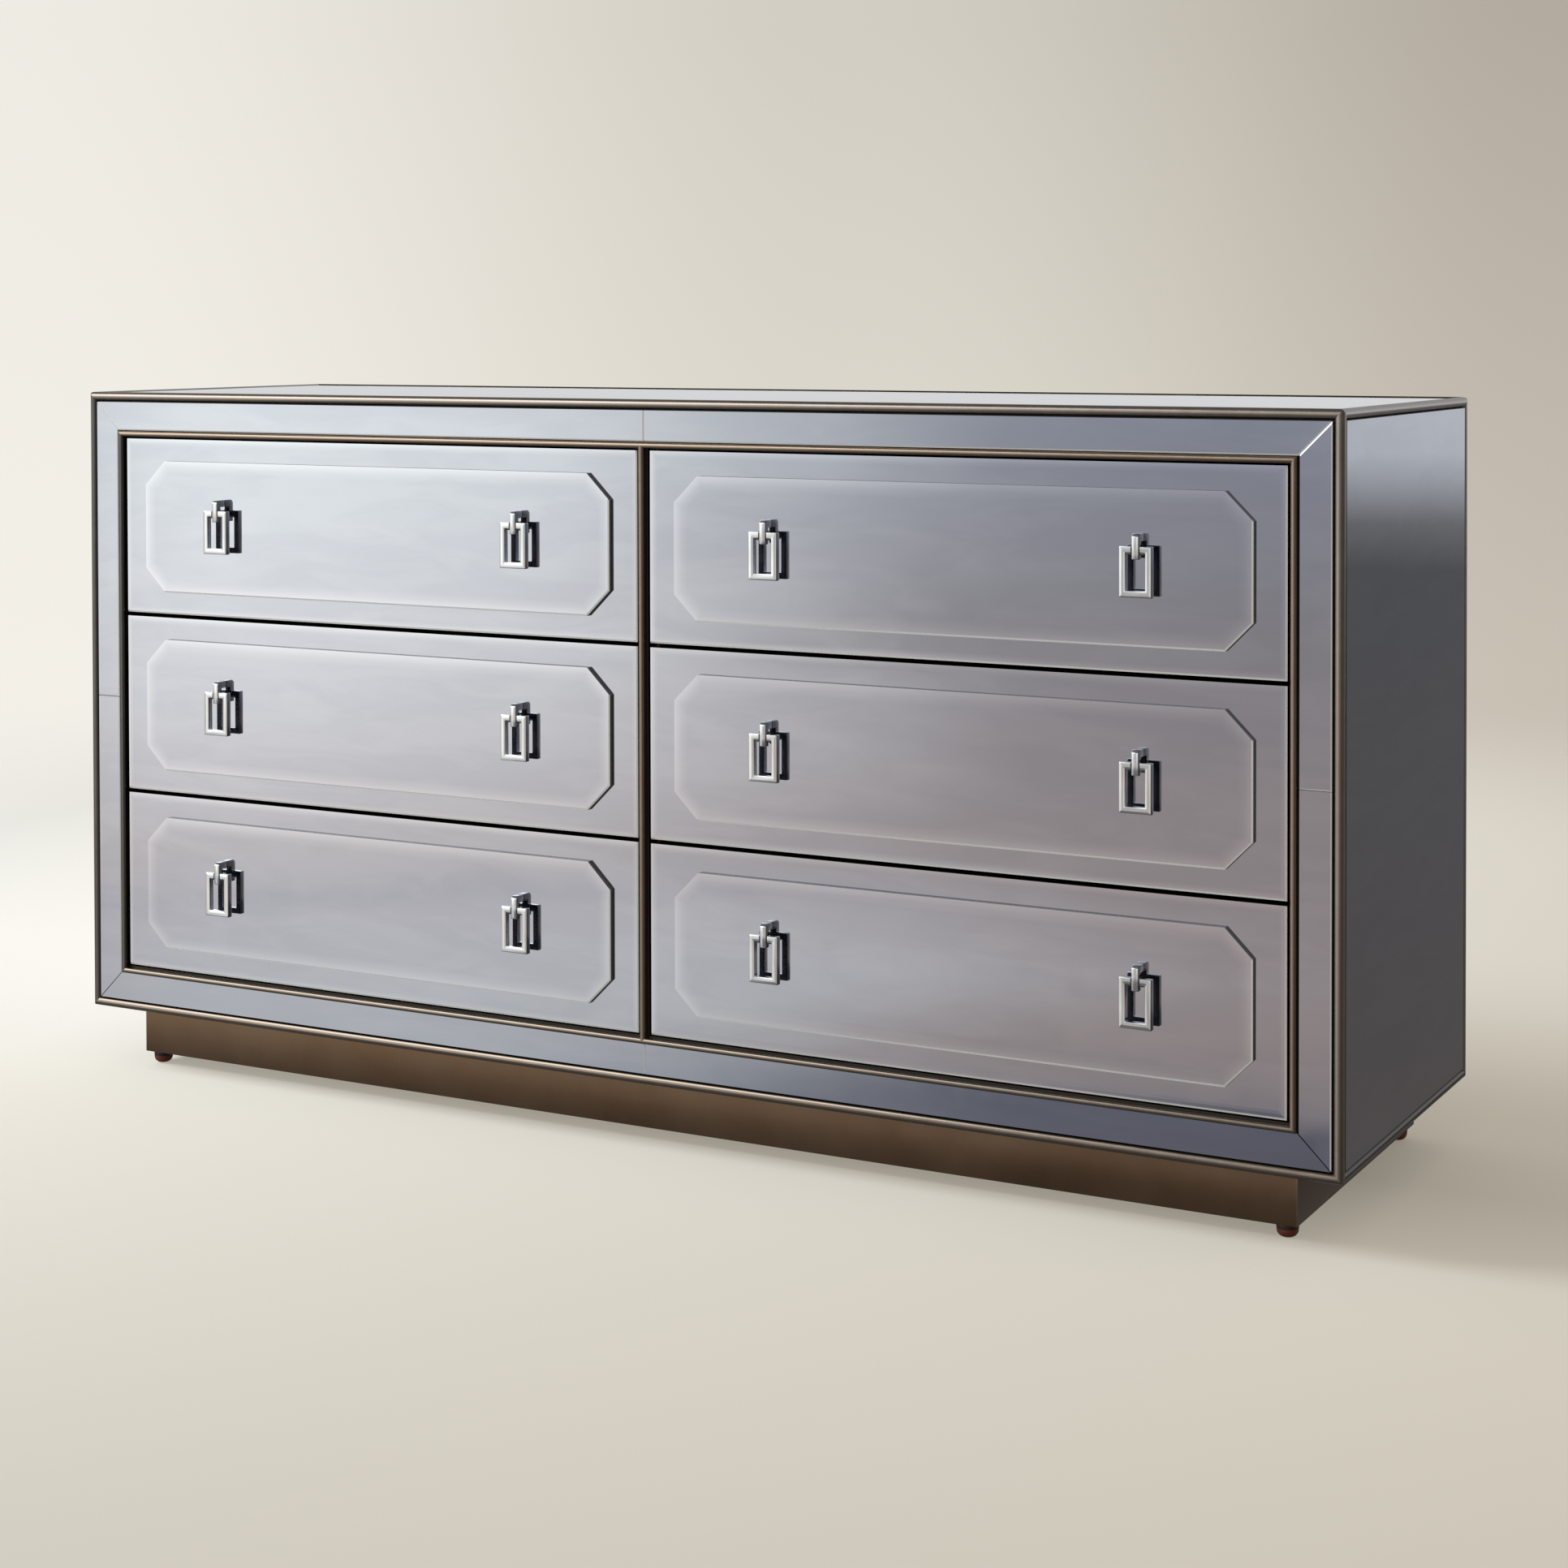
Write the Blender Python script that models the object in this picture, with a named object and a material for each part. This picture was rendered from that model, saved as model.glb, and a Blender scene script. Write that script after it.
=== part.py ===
"""Mirrored dresser with six drawers, twelve swinging bail pulls and a recessed plinth.

Metres, +Z up. The drawers open towards -Y. The origin is on the floor, at the middle of the
object's overall width and depth.
"""

import math

import bmesh
import bpy
from mathutils import Matrix, Vector

# Case, overall over its edge moulding
CASE_WIDTH = 1.600
CASE_DEPTH = 0.460
CASE_HEIGHT = 0.764

# Gap left between two pieces that rest on each other
SEAT = 0.0003

# Boards of the case
BOARD = 0.018
PARTITION = 0.016
BACK_BOARD = 0.006

# Mirror glass on the case, and the round moulding on its edges
GLASS = 0.004
EDGE_BEAD = 0.011
EDGE_BEAD_PROUD = 0.001
EDGE_BEAD_STEPS = 12
JOIN_OVERLAP = 0.001

# Front border: distance from the case's edge to the opening bead, and that bead
BORDER = 0.0455
OPENING_BEAD = 0.009
OPENING_BEAD_PROUD = 0.0035
OPENING_BEAD_ROUND = 0.0041
OPENING_BEAD_STEPS = 6
BORDER_ARRIS = 0.0008

# Drawers in the opening
COLUMNS = ("left", "right")
ROWS = ("top", "middle", "bottom")
SIDE_GAP = 0.0044
ROW_GAP = 0.006
END_GAP = 0.003
DRAWER_RECESS = 0.002
FRONT_BOARD = 0.018

# Mirrors on a drawer front
BASE_BEVEL = 0.0065
BASE_BEVEL_DROP = 0.0009
RAISED_GLASS = 0.0048
RAISED_SIDE_MARGIN = 0.033
RAISED_END_MARGIN = 0.026
RAISED_CORNER = 0.0295
RAISED_BEVEL = 0.0125
RAISED_BEVEL_DROP = 0.0018

# Drawer box and the runner ledges that carry it
BOX_INSET = 0.013
BOX_WALL = 0.012
BOX_BACK_GAP = 0.0234
BOX_TOP_GAP = 0.0353
BOX_LIFT = 0.012
BOX_BOTTOM = 0.006
BOX_BOTTOM_RISE = 0.008
RUNNER_LEDGE = 0.010
RUNNER_THICKNESS = 0.008
RUNNER_CHEEK = 0.026
RUNNER_SETBACK = 0.004
RUNNER_END_GAP = 0.006

# Pull: post with its arm, tab and screw
PULL_SPACING = 0.428
PULL_TOP = 0.0356
POST_WIDTH = 0.0077
POST_REACH = 0.0150
ARM_HEIGHT = 0.0083
TAB_THICKNESS = 0.0074
TAB_LENGTH = 0.0262
ELBOW_CHAMFER = 0.0030
POST_ARRIS = 0.0009
STUD_RADIUS = 0.0025
STUD_CLEARANCE = 0.0005
SCREW_HEAD_RADIUS = 0.0050
SCREW_HEAD_HEIGHT = 0.0022
ROUND_SIDES = 12

# Pull: bail and its pin
BAIL_WIDTH = 0.0350
BAIL_HEIGHT = 0.0519
BAIL_BAR = 0.0070
BAIL_DROP = 0.0129
BAIL_ARRIS = 0.0008
NOTCH_CLEARANCE = 0.0007
PIN_DROP = 0.0055
PIN_RADIUS = 0.0015
PIN_CLEARANCE = 0.0003
KNUCKLE_WALL = 0.0019
KNUCKLE_LENGTH = 0.0036

# Plinth and feet
PLINTH_HEIGHT = 0.058
PLINTH_FRONT_INSET = 0.0326
PLINTH_SIDE_INSET = 0.0569
PLINTH_BACK_GAP = 0.0005
CORNER_BLOCK = 0.044
CORNER_BLOCK_SETBACK = 0.002
FOOT_HEIGHT = 0.0145
FOOT_INSET = 0.015
FOOT_RADIUS = 0.0115
FOOT_COLLAR = 0.0052
FOOT_FLAT_RADIUS = 0.0040
FOOT_DOME_STEPS = 4
FOOT_SIDES = 20
STEM_RADIUS = 0.003
STEM_LENGTH = 0.020
STEM_CLEARANCE = 0.0003

# Places worked out from the sizes above; depths run back from the front of the edge moulding
MIRROR_FACE = EDGE_BEAD_PROUD
BOARD_FACE = MIRROR_FACE + GLASS + SEAT
FRAME_BACK = BOARD_FACE + BOARD
MOULDING_CLEAR = EDGE_BEAD + SEAT
BOARD_END = CASE_DEPTH - MOULDING_CLEAR
OPENING_INSET = BORDER + OPENING_BEAD

BASE_FACE = MIRROR_FACE + DRAWER_RECESS
BASE_BACK = BASE_FACE + GLASS
FRONT_BOARD_FACE = BASE_BACK + SEAT
FRONT_BOARD_BACK = FRONT_BOARD_FACE + FRONT_BOARD
RAISED_BACK = BASE_FACE - SEAT
RAISED_FACE = RAISED_BACK - RAISED_GLASS
POST_BACK = RAISED_FACE - SEAT
POST_FACE = POST_BACK - POST_REACH
PIN_DEPTH = POST_FACE + TAB_THICKNESS / 2
KNUCKLE_RADIUS = PIN_RADIUS + KNUCKLE_WALL

FRONT_WIDTH = (CASE_WIDTH - 2 * OPENING_INSET - OPENING_BEAD - 4 * SIDE_GAP) / 2
FRONT_HEIGHT = (
    CASE_HEIGHT - 2 * OPENING_INSET - (len(ROWS) - 1) * ROW_GAP - 2 * END_GAP
) / len(ROWS)
BOX_BACK = BOARD_END - BOX_BACK_GAP
BOX_HEIGHT = FRONT_HEIGHT - BOX_LIFT - BOX_TOP_GAP

CASE_BOTTOM = FOOT_HEIGHT + PLINTH_HEIGHT
CASE_TOP = CASE_BOTTOM + CASE_HEIGHT
CASE_FRONT = -(CASE_DEPTH + POST_FACE) / 2
HALF_WIDTH = CASE_WIDTH / 2


def clear_scene():
    for obj in list(bpy.data.objects):
        bpy.data.objects.remove(obj)


def finish(name, colour, metallic, roughness):
    material = bpy.data.materials.new(name)
    material.use_nodes = True
    shader = material.node_tree.nodes["Principled BSDF"]
    shader.inputs["Base Color"].default_value = (*colour, 1.0)
    shader.inputs["Metallic"].default_value = metallic
    shader.inputs["Roughness"].default_value = roughness
    material.diffuse_color = (*colour, 1.0)
    return material


def add_object(name, bm, material=None, location=(0, 0, 0), parent=None):
    """Turns a bmesh into an object whose faces point outwards."""
    bmesh.ops.recalc_face_normals(bm, faces=bm.faces)
    mesh = bpy.data.meshes.new(name)
    bm.to_mesh(mesh)
    bm.free()
    if material:
        mesh.materials.append(material)
    obj = bpy.data.objects.new(name, mesh)
    bpy.context.scene.collection.objects.link(obj)
    obj.location = location
    obj.parent = parent
    return obj


def combine(target, tool, operation):
    """Cuts the tool out of the target, or joins it on, and removes the tool."""
    modifier = target.modifiers.new(operation.title(), "BOOLEAN")
    modifier.operation = operation
    modifier.solver = "EXACT"
    modifier.object = tool
    graph = bpy.context.evaluated_depsgraph_get()
    mesh = bpy.data.meshes.new_from_object(target.evaluated_get(graph))
    target.modifiers.clear()
    target.data = mesh
    bpy.data.objects.remove(tool)


def round_off(obj, angle):
    """Smooth shading, with edges sharper than the angle kept crisp."""
    obj.data.shade_smooth()
    obj.data.set_sharp_from_angle(angle=math.radians(angle))


def box(low, high):
    bm = bmesh.new()
    bmesh.ops.create_cube(bm, size=1.0)
    low, high = Vector(low), Vector(high)
    bmesh.ops.scale(bm, vec=high - low, verts=bm.verts)
    bmesh.ops.translate(bm, vec=(low + high) / 2, verts=bm.verts)
    return bm


def prism(outline, start, end, place):
    """Extrudes a flat outline from start to end; place turns (u, v, depth) into a point."""
    bm = bmesh.new()
    face = bm.faces.new([bm.verts.new(place(u, v, start)) for u, v in outline])
    extruded = bmesh.ops.extrude_face_region(bm, geom=[face])
    moved = [part for part in extruded["geom"] if isinstance(part, bmesh.types.BMVert)]
    shift = Vector(place(0, 0, end)) - Vector(place(0, 0, start))
    bmesh.ops.translate(bm, vec=shift, verts=moved)
    return bm


def in_front_plane(u, v, depth):
    return (u, depth, v)


def in_side_plane(u, v, depth):
    return (depth, u, v)


def mitred_ring(section, low, high, place):
    """Sweeps a section of (inset, depth) points round a rectangle, mitred at its corners."""
    bm = bmesh.new()
    (u0, v0), (u1, v1) = low, high
    loops = []
    for inset, depth in section:
        corners = (
            (u0 + inset, v0 + inset),
            (u1 - inset, v0 + inset),
            (u1 - inset, v1 - inset),
            (u0 + inset, v1 - inset),
        )
        loops.append([bm.verts.new(place(u, v, depth)) for u, v in corners])
    for first, second in zip(loops, loops[1:] + loops[:1]):
        for side in range(4):
            after = (side + 1) % 4
            bm.faces.new((first[side], first[after], second[after], second[side]))
    return bm


def rod(radius, start, end, sides):
    """A round bar between two points that lie along one axis."""
    start, end = Vector(start), Vector(end)
    run = end - start
    turn = run.to_track_quat("Z", "Y").to_matrix().to_4x4()
    bm = bmesh.new()
    bmesh.ops.create_cone(
        bm,
        cap_ends=True,
        segments=sides,
        radius1=radius,
        radius2=radius,
        depth=run.length,
        matrix=Matrix.Translation((start + end) / 2) @ turn,
    )
    return bm


def turned(profile, sides):
    """Turns (radius, height) points about the vertical axis; the first and last lie on it."""
    bm = bmesh.new()
    verts = [bm.verts.new((radius, 0, height)) for radius, height in profile]
    edges = [bm.edges.new(pair) for pair in zip(verts, verts[1:])]
    bmesh.ops.spin(
        bm,
        geom=verts + edges,
        cent=(0, 0, 0),
        axis=(0, 0, 1),
        angle=math.tau,
        steps=sides,
        use_merge=True,
    )
    bmesh.ops.remove_doubles(bm, verts=bm.verts, dist=1e-6)
    return bm


def arc(centre, radii, start, end, steps):
    """Points on an ellipse from start to end degrees."""
    points = []
    for step in range(steps + 1):
        angle = math.radians(start + (end - start) * step / steps)
        points.append(
            (
                centre[0] + radii[0] * math.cos(angle),
                centre[1] + radii[1] * math.sin(angle),
            )
        )
    return points


def bevelled_glass(outline, back, face, bevel, drop):
    """A plate whose front face is inset by its bevel, with thinner edges all round."""
    bm = prism(outline, back, face + drop, in_front_plane)
    bmesh.ops.recalc_face_normals(bm, faces=bm.faces)
    front = min(bm.faces, key=lambda item: item.calc_center_median().y)
    bmesh.ops.inset_individual(
        bm, faces=[front], thickness=bevel, depth=drop, use_even_offset=True
    )
    return bm


def bevel_all(bm, width):
    bmesh.ops.bevel(
        bm,
        geom=bm.edges[:],
        offset=width,
        offset_type="OFFSET",
        segments=1,
        affect="EDGES",
    )


def rectangle(low, high):
    return [(low[0], low[1]), (high[0], low[1]), (high[0], high[1]), (low[0], high[1])]


def depth_at(depth):
    """World Y of a depth behind the front of the edge moulding."""
    return CASE_FRONT + depth


def mitred_board(name, side, material):
    """One of the four boards of the case, rebated on its outer edges for the moulding."""
    along = CASE_WIDTH if side in ("top", "bottom") else CASE_HEIGHT
    inner = BOARD_FACE + BOARD
    outline = [
        (MOULDING_CLEAR, BOARD_FACE),
        (along - MOULDING_CLEAR, BOARD_FACE),
        (along - MOULDING_CLEAR - SEAT, MOULDING_CLEAR),
        (along - inner - SEAT, inner),
        (inner + SEAT, inner),
        (MOULDING_CLEAR + SEAT, MOULDING_CLEAR),
    ]
    places = {
        "top": lambda s, a: (s - HALF_WIDTH, CASE_TOP - a),
        "bottom": lambda s, a: (s - HALF_WIDTH, CASE_BOTTOM + a),
        "left": lambda s, a: (a - HALF_WIDTH, CASE_BOTTOM + s),
        "right": lambda s, a: (HALF_WIDTH - a, CASE_BOTTOM + s),
    }
    points = [places[side](s, a) for s, a in outline]
    bm = prism(points, depth_at(FRAME_BACK + SEAT), depth_at(BOARD_END), in_front_plane)
    return add_object(name, bm, material)


def row_bottom(row):
    """World Z of the lower edge of a drawer front; row 0 is the top one."""
    top = CASE_TOP - OPENING_INSET - END_GAP
    return top - (row + 1) * FRONT_HEIGHT - row * ROW_GAP


def column_left(column):
    """World X of the left edge of a drawer front."""
    starts = (OPENING_INSET - HALF_WIDTH + SIDE_GAP, OPENING_BEAD / 2 + SIDE_GAP)
    return starts[column]


def add_runners(board, wall, column, towards):
    """Joins one ledge for each row to a board; towards is +1 where the drawer is at its +X."""
    left = column_left(column) + BOX_INSET
    right = column_left(column) + FRONT_WIDTH - BOX_INSET
    box_side = left if towards > 0 else right
    root = wall - towards * JOIN_OVERLAP
    cheek = box_side - towards * SEAT
    tip = box_side + towards * RUNNER_LEDGE
    for row in range(len(ROWS)):
        ledge_top = row_bottom(row) + BOX_LIFT - SEAT
        ledge_bottom = ledge_top - RUNNER_THICKNESS
        outline = [
            (root, ledge_bottom),
            (tip, ledge_bottom),
            (tip, ledge_top),
            (cheek, ledge_top),
            (cheek, ledge_top + RUNNER_CHEEK),
            (root, ledge_top + RUNNER_CHEEK),
        ]
        bm = prism(
            outline,
            depth_at(FRONT_BOARD_BACK + RUNNER_SETBACK),
            depth_at(BOARD_END - RUNNER_END_GAP),
            in_front_plane,
        )
        combine(board, add_object("runner", bm), "UNION")


def make_case(finishes):
    wood = finishes["case_wood"]
    mitred_board("top_panel", "top", wood)
    mitred_board("bottom_panel", "bottom", wood)
    left = mitred_board("side_panel_left", "left", wood)
    right = mitred_board("side_panel_right", "right", wood)
    inner = HALF_WIDTH - BOARD_FACE - BOARD
    add_runners(left, -inner, 0, 1)
    add_runners(right, inner, 1, -1)

    floor = CASE_BOTTOM + BOARD_FACE + BOARD + SEAT
    ceiling = CASE_TOP - BOARD_FACE - BOARD - SEAT
    bm = box(
        (-PARTITION / 2, depth_at(FRAME_BACK + SEAT), floor),
        (PARTITION / 2, depth_at(BOARD_END), ceiling),
    )
    partition = add_object("centre_partition", bm, wood)
    add_runners(partition, -PARTITION / 2, 0, -1)
    add_runners(partition, PARTITION / 2, 1, 1)

    back = box(
        (
            MOULDING_CLEAR - HALF_WIDTH,
            depth_at(BOARD_END + SEAT),
            CASE_BOTTOM + MOULDING_CLEAR,
        ),
        (
            HALF_WIDTH - MOULDING_CLEAR,
            depth_at(BOARD_END + SEAT + BACK_BOARD),
            CASE_TOP - MOULDING_CLEAR,
        ),
    )
    add_object("back_panel", back, finishes["back_wood"])


CASE_LOW = (-HALF_WIDTH, CASE_BOTTOM)
CASE_HIGH = (HALF_WIDTH, CASE_TOP)


def case_ring(section):
    """A mitred ring round the front of the case from (inset, depth) points."""
    placed = [(inset, depth_at(depth)) for inset, depth in section]
    return mitred_ring(placed, CASE_LOW, CASE_HIGH, in_front_plane)


def make_face_frame(finishes):
    section = [
        (MOULDING_CLEAR, BOARD_FACE),
        (OPENING_INSET, BOARD_FACE),
        (OPENING_INSET, FRAME_BACK),
        (BOARD_FACE, FRAME_BACK),
        (BOARD_FACE, MOULDING_CLEAR),
        (MOULDING_CLEAR, MOULDING_CLEAR),
    ]
    frame = add_object("face_frame", case_ring(section), finishes["case_wood"])
    for side in (-1, 1):
        for edge_z, level in ((CASE_BOTTOM, 1), (CASE_TOP, -1)):
            xs = sorted((side * HALF_WIDTH, side * (HALF_WIDTH - MOULDING_CLEAR)))
            zs = sorted((edge_z, edge_z + level * MOULDING_CLEAR))
            bm = box(
                (xs[0], depth_at(0), zs[0]),
                (xs[1], depth_at(FRAME_BACK + JOIN_OVERLAP), zs[1]),
            )
            combine(frame, add_object("corner_notch", bm), "DIFFERENCE")
    reach = OPENING_INSET - JOIN_OVERLAP
    stile = box(
        (-OPENING_BEAD / 2, depth_at(BOARD_FACE), CASE_BOTTOM + reach),
        (OPENING_BEAD / 2, depth_at(FRAME_BACK), CASE_TOP - reach),
    )
    combine(frame, add_object("stile", stile), "UNION")


def make_edge_moulding(finishes):
    """Round bead on all twelve edges: a front and a back ring joined by four sticks."""
    half = EDGE_BEAD / 2
    round_part = arc((half, half), (half, half), 0, -270, EDGE_BEAD_STEPS)
    section = round_part + [(EDGE_BEAD, EDGE_BEAD)]
    moulding = add_object("edge_moulding", case_ring(section), finishes["bronze"])
    back_section = [(inset, CASE_DEPTH - depth) for inset, depth in section]
    rings = [add_object("back_ring", case_ring(back_section))]
    shrink = 1 - SEAT / half
    for side in (-1, 1):
        for level in (-1, 1):
            edge_x = side * HALF_WIDTH
            edge_z = CASE_TOP if level > 0 else CASE_BOTTOM
            outline = []
            for across, up in section:
                inset_x = half + (across - half) * shrink
                inset_z = half + (up - half) * shrink
                outline.append((edge_x - side * inset_x, edge_z - level * inset_z))
            bm = prism(
                outline, depth_at(half), depth_at(CASE_DEPTH - half), in_front_plane
            )
            rings.append(add_object("stick", bm))
    for ring in rings:
        combine(moulding, ring, "UNION")
    round_off(moulding, 40)


def make_opening_bead(finishes):
    """Half-round bead round the drawer opening, with the centre bead between the columns."""
    seat = BOARD_FACE - SEAT
    crown = MIRROR_FACE - OPENING_BEAD_PROUD
    spring = crown + OPENING_BEAD_ROUND
    radii = (OPENING_BEAD / 2, -OPENING_BEAD_ROUND)
    middle = BORDER + OPENING_BEAD / 2
    dome = arc((middle, spring), radii, 180, 0, OPENING_BEAD_STEPS)
    section = [(BORDER, seat)] + dome + [(OPENING_INSET, seat)]
    bead = add_object("opening_bead", case_ring(section), finishes["bronze"])
    outline = [(inset - middle, depth_at(depth)) for inset, depth in section]
    bottom = CASE_BOTTOM + OPENING_INSET - JOIN_OVERLAP
    top = CASE_TOP - OPENING_INSET + JOIN_OVERLAP
    centre = prism(outline, bottom, top, lambda u, v, depth: (u, v, depth))
    combine(bead, add_object("centre_bead", centre), "UNION")
    round_off(bead, 40)


def make_case_mirrors(finishes):
    """Front border, side mirrors and top mirror; each lies on its board inside the moulding."""
    mirror = finishes["mirror"]
    back = MIRROR_FACE + GLASS
    section = [
        (MOULDING_CLEAR, back),
        (MOULDING_CLEAR, MIRROR_FACE + BORDER_ARRIS),
        (MOULDING_CLEAR + BORDER_ARRIS, MIRROR_FACE),
        (BORDER - SEAT - BORDER_ARRIS, MIRROR_FACE),
        (BORDER - SEAT, MIRROR_FACE + BORDER_ARRIS),
        (BORDER - SEAT, back),
    ]
    add_object("front_mirror_border", case_ring(section), mirror)

    front, rear = depth_at(MOULDING_CLEAR), depth_at(BOARD_END)
    bottom, top = CASE_BOTTOM + MOULDING_CLEAR, CASE_TOP - MOULDING_CLEAR
    face = HALF_WIDTH - MIRROR_FACE
    for name, side in (("left", -1), ("right", 1)):
        xs = sorted((side * face, side * (face - GLASS)))
        bm = box((xs[0], front, bottom), (xs[1], rear, top))
        add_object(f"side_mirror_{name}", bm, mirror)
    edge = HALF_WIDTH - MOULDING_CLEAR
    level = CASE_TOP - MIRROR_FACE
    bm = box((-edge, front, level - GLASS), (edge, rear, level))
    add_object("top_mirror", bm, mirror)


def make_plinth(finishes):
    left = PLINTH_SIDE_INSET - HALF_WIDTH
    front = depth_at(PLINTH_FRONT_INSET)
    back = depth_at(CASE_DEPTH - EDGE_BEAD - PLINTH_BACK_GAP)
    low_z = CASE_BOTTOM - PLINTH_HEIGHT
    high_z = CASE_BOTTOM + BOARD_FACE - SEAT
    section = rectangle((0, low_z), (BOARD, high_z))
    ring = mitred_ring(section, (left, front), (-left, back), lambda u, v, z: (u, v, z))
    plinth = add_object("plinth_frame", ring, finishes["plinth_bronze"])
    feet = []
    for side in (-1, 1):
        for end in (-1, 1):
            corner_x = side * -left
            corner_y = front if end < 0 else back
            near = CORNER_BLOCK_SETBACK + JOIN_OVERLAP
            xs = sorted((corner_x - side * near, corner_x - side * CORNER_BLOCK))
            ys = sorted((corner_y - end * near, corner_y - end * CORNER_BLOCK))
            bm = box(
                (xs[0], ys[0], low_z + CORNER_BLOCK_SETBACK),
                (xs[1], ys[1], high_z - CORNER_BLOCK_SETBACK),
            )
            combine(plinth, add_object("corner_block", bm), "UNION")
            foot_x = corner_x - side * FOOT_INSET
            foot_y = corner_y - end * FOOT_INSET
            hole = rod(
                STEM_RADIUS + STEM_CLEARANCE,
                (foot_x, foot_y, low_z - JOIN_OVERLAP),
                (foot_x, foot_y, low_z + STEM_LENGTH + STEM_CLEARANCE),
                ROUND_SIDES,
            )
            combine(plinth, add_object("stem_hole", hole), "DIFFERENCE")
            feet.append((side, end, foot_x, foot_y))
    for side, end, foot_x, foot_y in feet:
        make_foot(side, end, foot_x, foot_y, finishes["foot"])


def make_foot(side, end, foot_x, foot_y, material):
    """Rounded foot under a dark collar, with a stem that sits in the plinth's corner block."""
    collar_top = FOOT_HEIGHT - SEAT
    dome_height = FOOT_HEIGHT - FOOT_COLLAR
    dome = arc(
        (FOOT_FLAT_RADIUS, dome_height),
        (FOOT_RADIUS - FOOT_FLAT_RADIUS, dome_height),
        -90,
        0,
        FOOT_DOME_STEPS,
    )
    profile = [(0, 0)] + dome
    profile += [(FOOT_RADIUS, collar_top), (STEM_RADIUS, collar_top)]
    profile += [(STEM_RADIUS, collar_top + STEM_LENGTH), (0, collar_top + STEM_LENGTH)]
    end_name = "front" if end < 0 else "back"
    side_name = "left" if side < 0 else "right"
    foot = add_object(
        f"foot_{end_name}_{side_name}",
        turned(profile, FOOT_SIDES),
        material,
        location=(foot_x, foot_y, 0),
    )
    round_off(foot, 40)


def drill_stud_holes(obj, front, back):
    """Drills the two holes for the pull studs through a piece of a drawer front."""
    height = PULL_TOP - ARM_HEIGHT / 2
    for side in (-1, 1):
        x = side * PULL_SPACING / 2
        hole = rod(
            STUD_RADIUS + STUD_CLEARANCE,
            (x, front - JOIN_OVERLAP, height),
            (x, back + JOIN_OVERLAP, height),
            ROUND_SIDES,
        )
        tool = add_object("stud_hole", hole, parent=obj.parent)
        combine(obj, tool, "DIFFERENCE")


def make_drawer_box(name, slide, material):
    """Front board with the open-topped box behind it; the floor is set up in its walls."""
    half_w, half_h = FRONT_WIDTH / 2, FRONT_HEIGHT / 2
    front = FRONT_BOARD_FACE
    back = FRONT_BOARD_BACK
    bm = box((-half_w, front, -half_h), (half_w, back, half_h))
    drawer = add_object(name, bm, material, parent=slide)
    box_x = half_w - BOX_INSET
    box_low = BOX_LIFT - half_h
    shell = box(
        (-box_x, back - JOIN_OVERLAP, box_low),
        (box_x, BOX_BACK, box_low + BOX_HEIGHT),
    )
    body = add_object("box_body", shell, parent=slide)
    inner_x = box_x - BOX_WALL
    inner_front = back - JOIN_OVERLAP / 2
    inner_back = BOX_BACK - BOX_WALL
    floor_low = box_low + BOX_BOTTOM_RISE
    cavities = (
        (floor_low + BOX_BOTTOM, box_low + BOX_HEIGHT + JOIN_OVERLAP),
        (box_low - JOIN_OVERLAP, floor_low),
    )
    for low_z, high_z in cavities:
        bm = box((-inner_x, inner_front, low_z), (inner_x, inner_back, high_z))
        cavity = add_object("cavity", bm, parent=slide)
        combine(body, cavity, "DIFFERENCE")
    combine(drawer, body, "UNION")
    drill_stud_holes(drawer, front, back)


def make_drawer_mirrors(name, slide, material):
    half_w, half_h = FRONT_WIDTH / 2, FRONT_HEIGHT / 2
    outline = rectangle((-half_w, -half_h), (half_w, half_h))
    bm = bevelled_glass(outline, BASE_BACK, BASE_FACE, BASE_BEVEL, BASE_BEVEL_DROP)
    base = add_object(f"{name}_base_mirror", bm, material, parent=slide)
    drill_stud_holes(base, BASE_FACE, BASE_BACK)

    w, h = half_w - RAISED_SIDE_MARGIN, half_h - RAISED_END_MARGIN
    cut = RAISED_CORNER
    outline = [
        (cut - w, -h),
        (w - cut, -h),
        (w, cut - h),
        (w, h - cut),
        (w - cut, h),
        (cut - w, h),
        (-w, h - cut),
        (-w, cut - h),
    ]
    bm = bevelled_glass(
        outline, RAISED_BACK, RAISED_FACE, RAISED_BEVEL, RAISED_BEVEL_DROP
    )
    raised = add_object(f"{name}_raised_mirror", bm, material, parent=slide)
    drill_stud_holes(raised, RAISED_FACE, RAISED_BACK)


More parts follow.
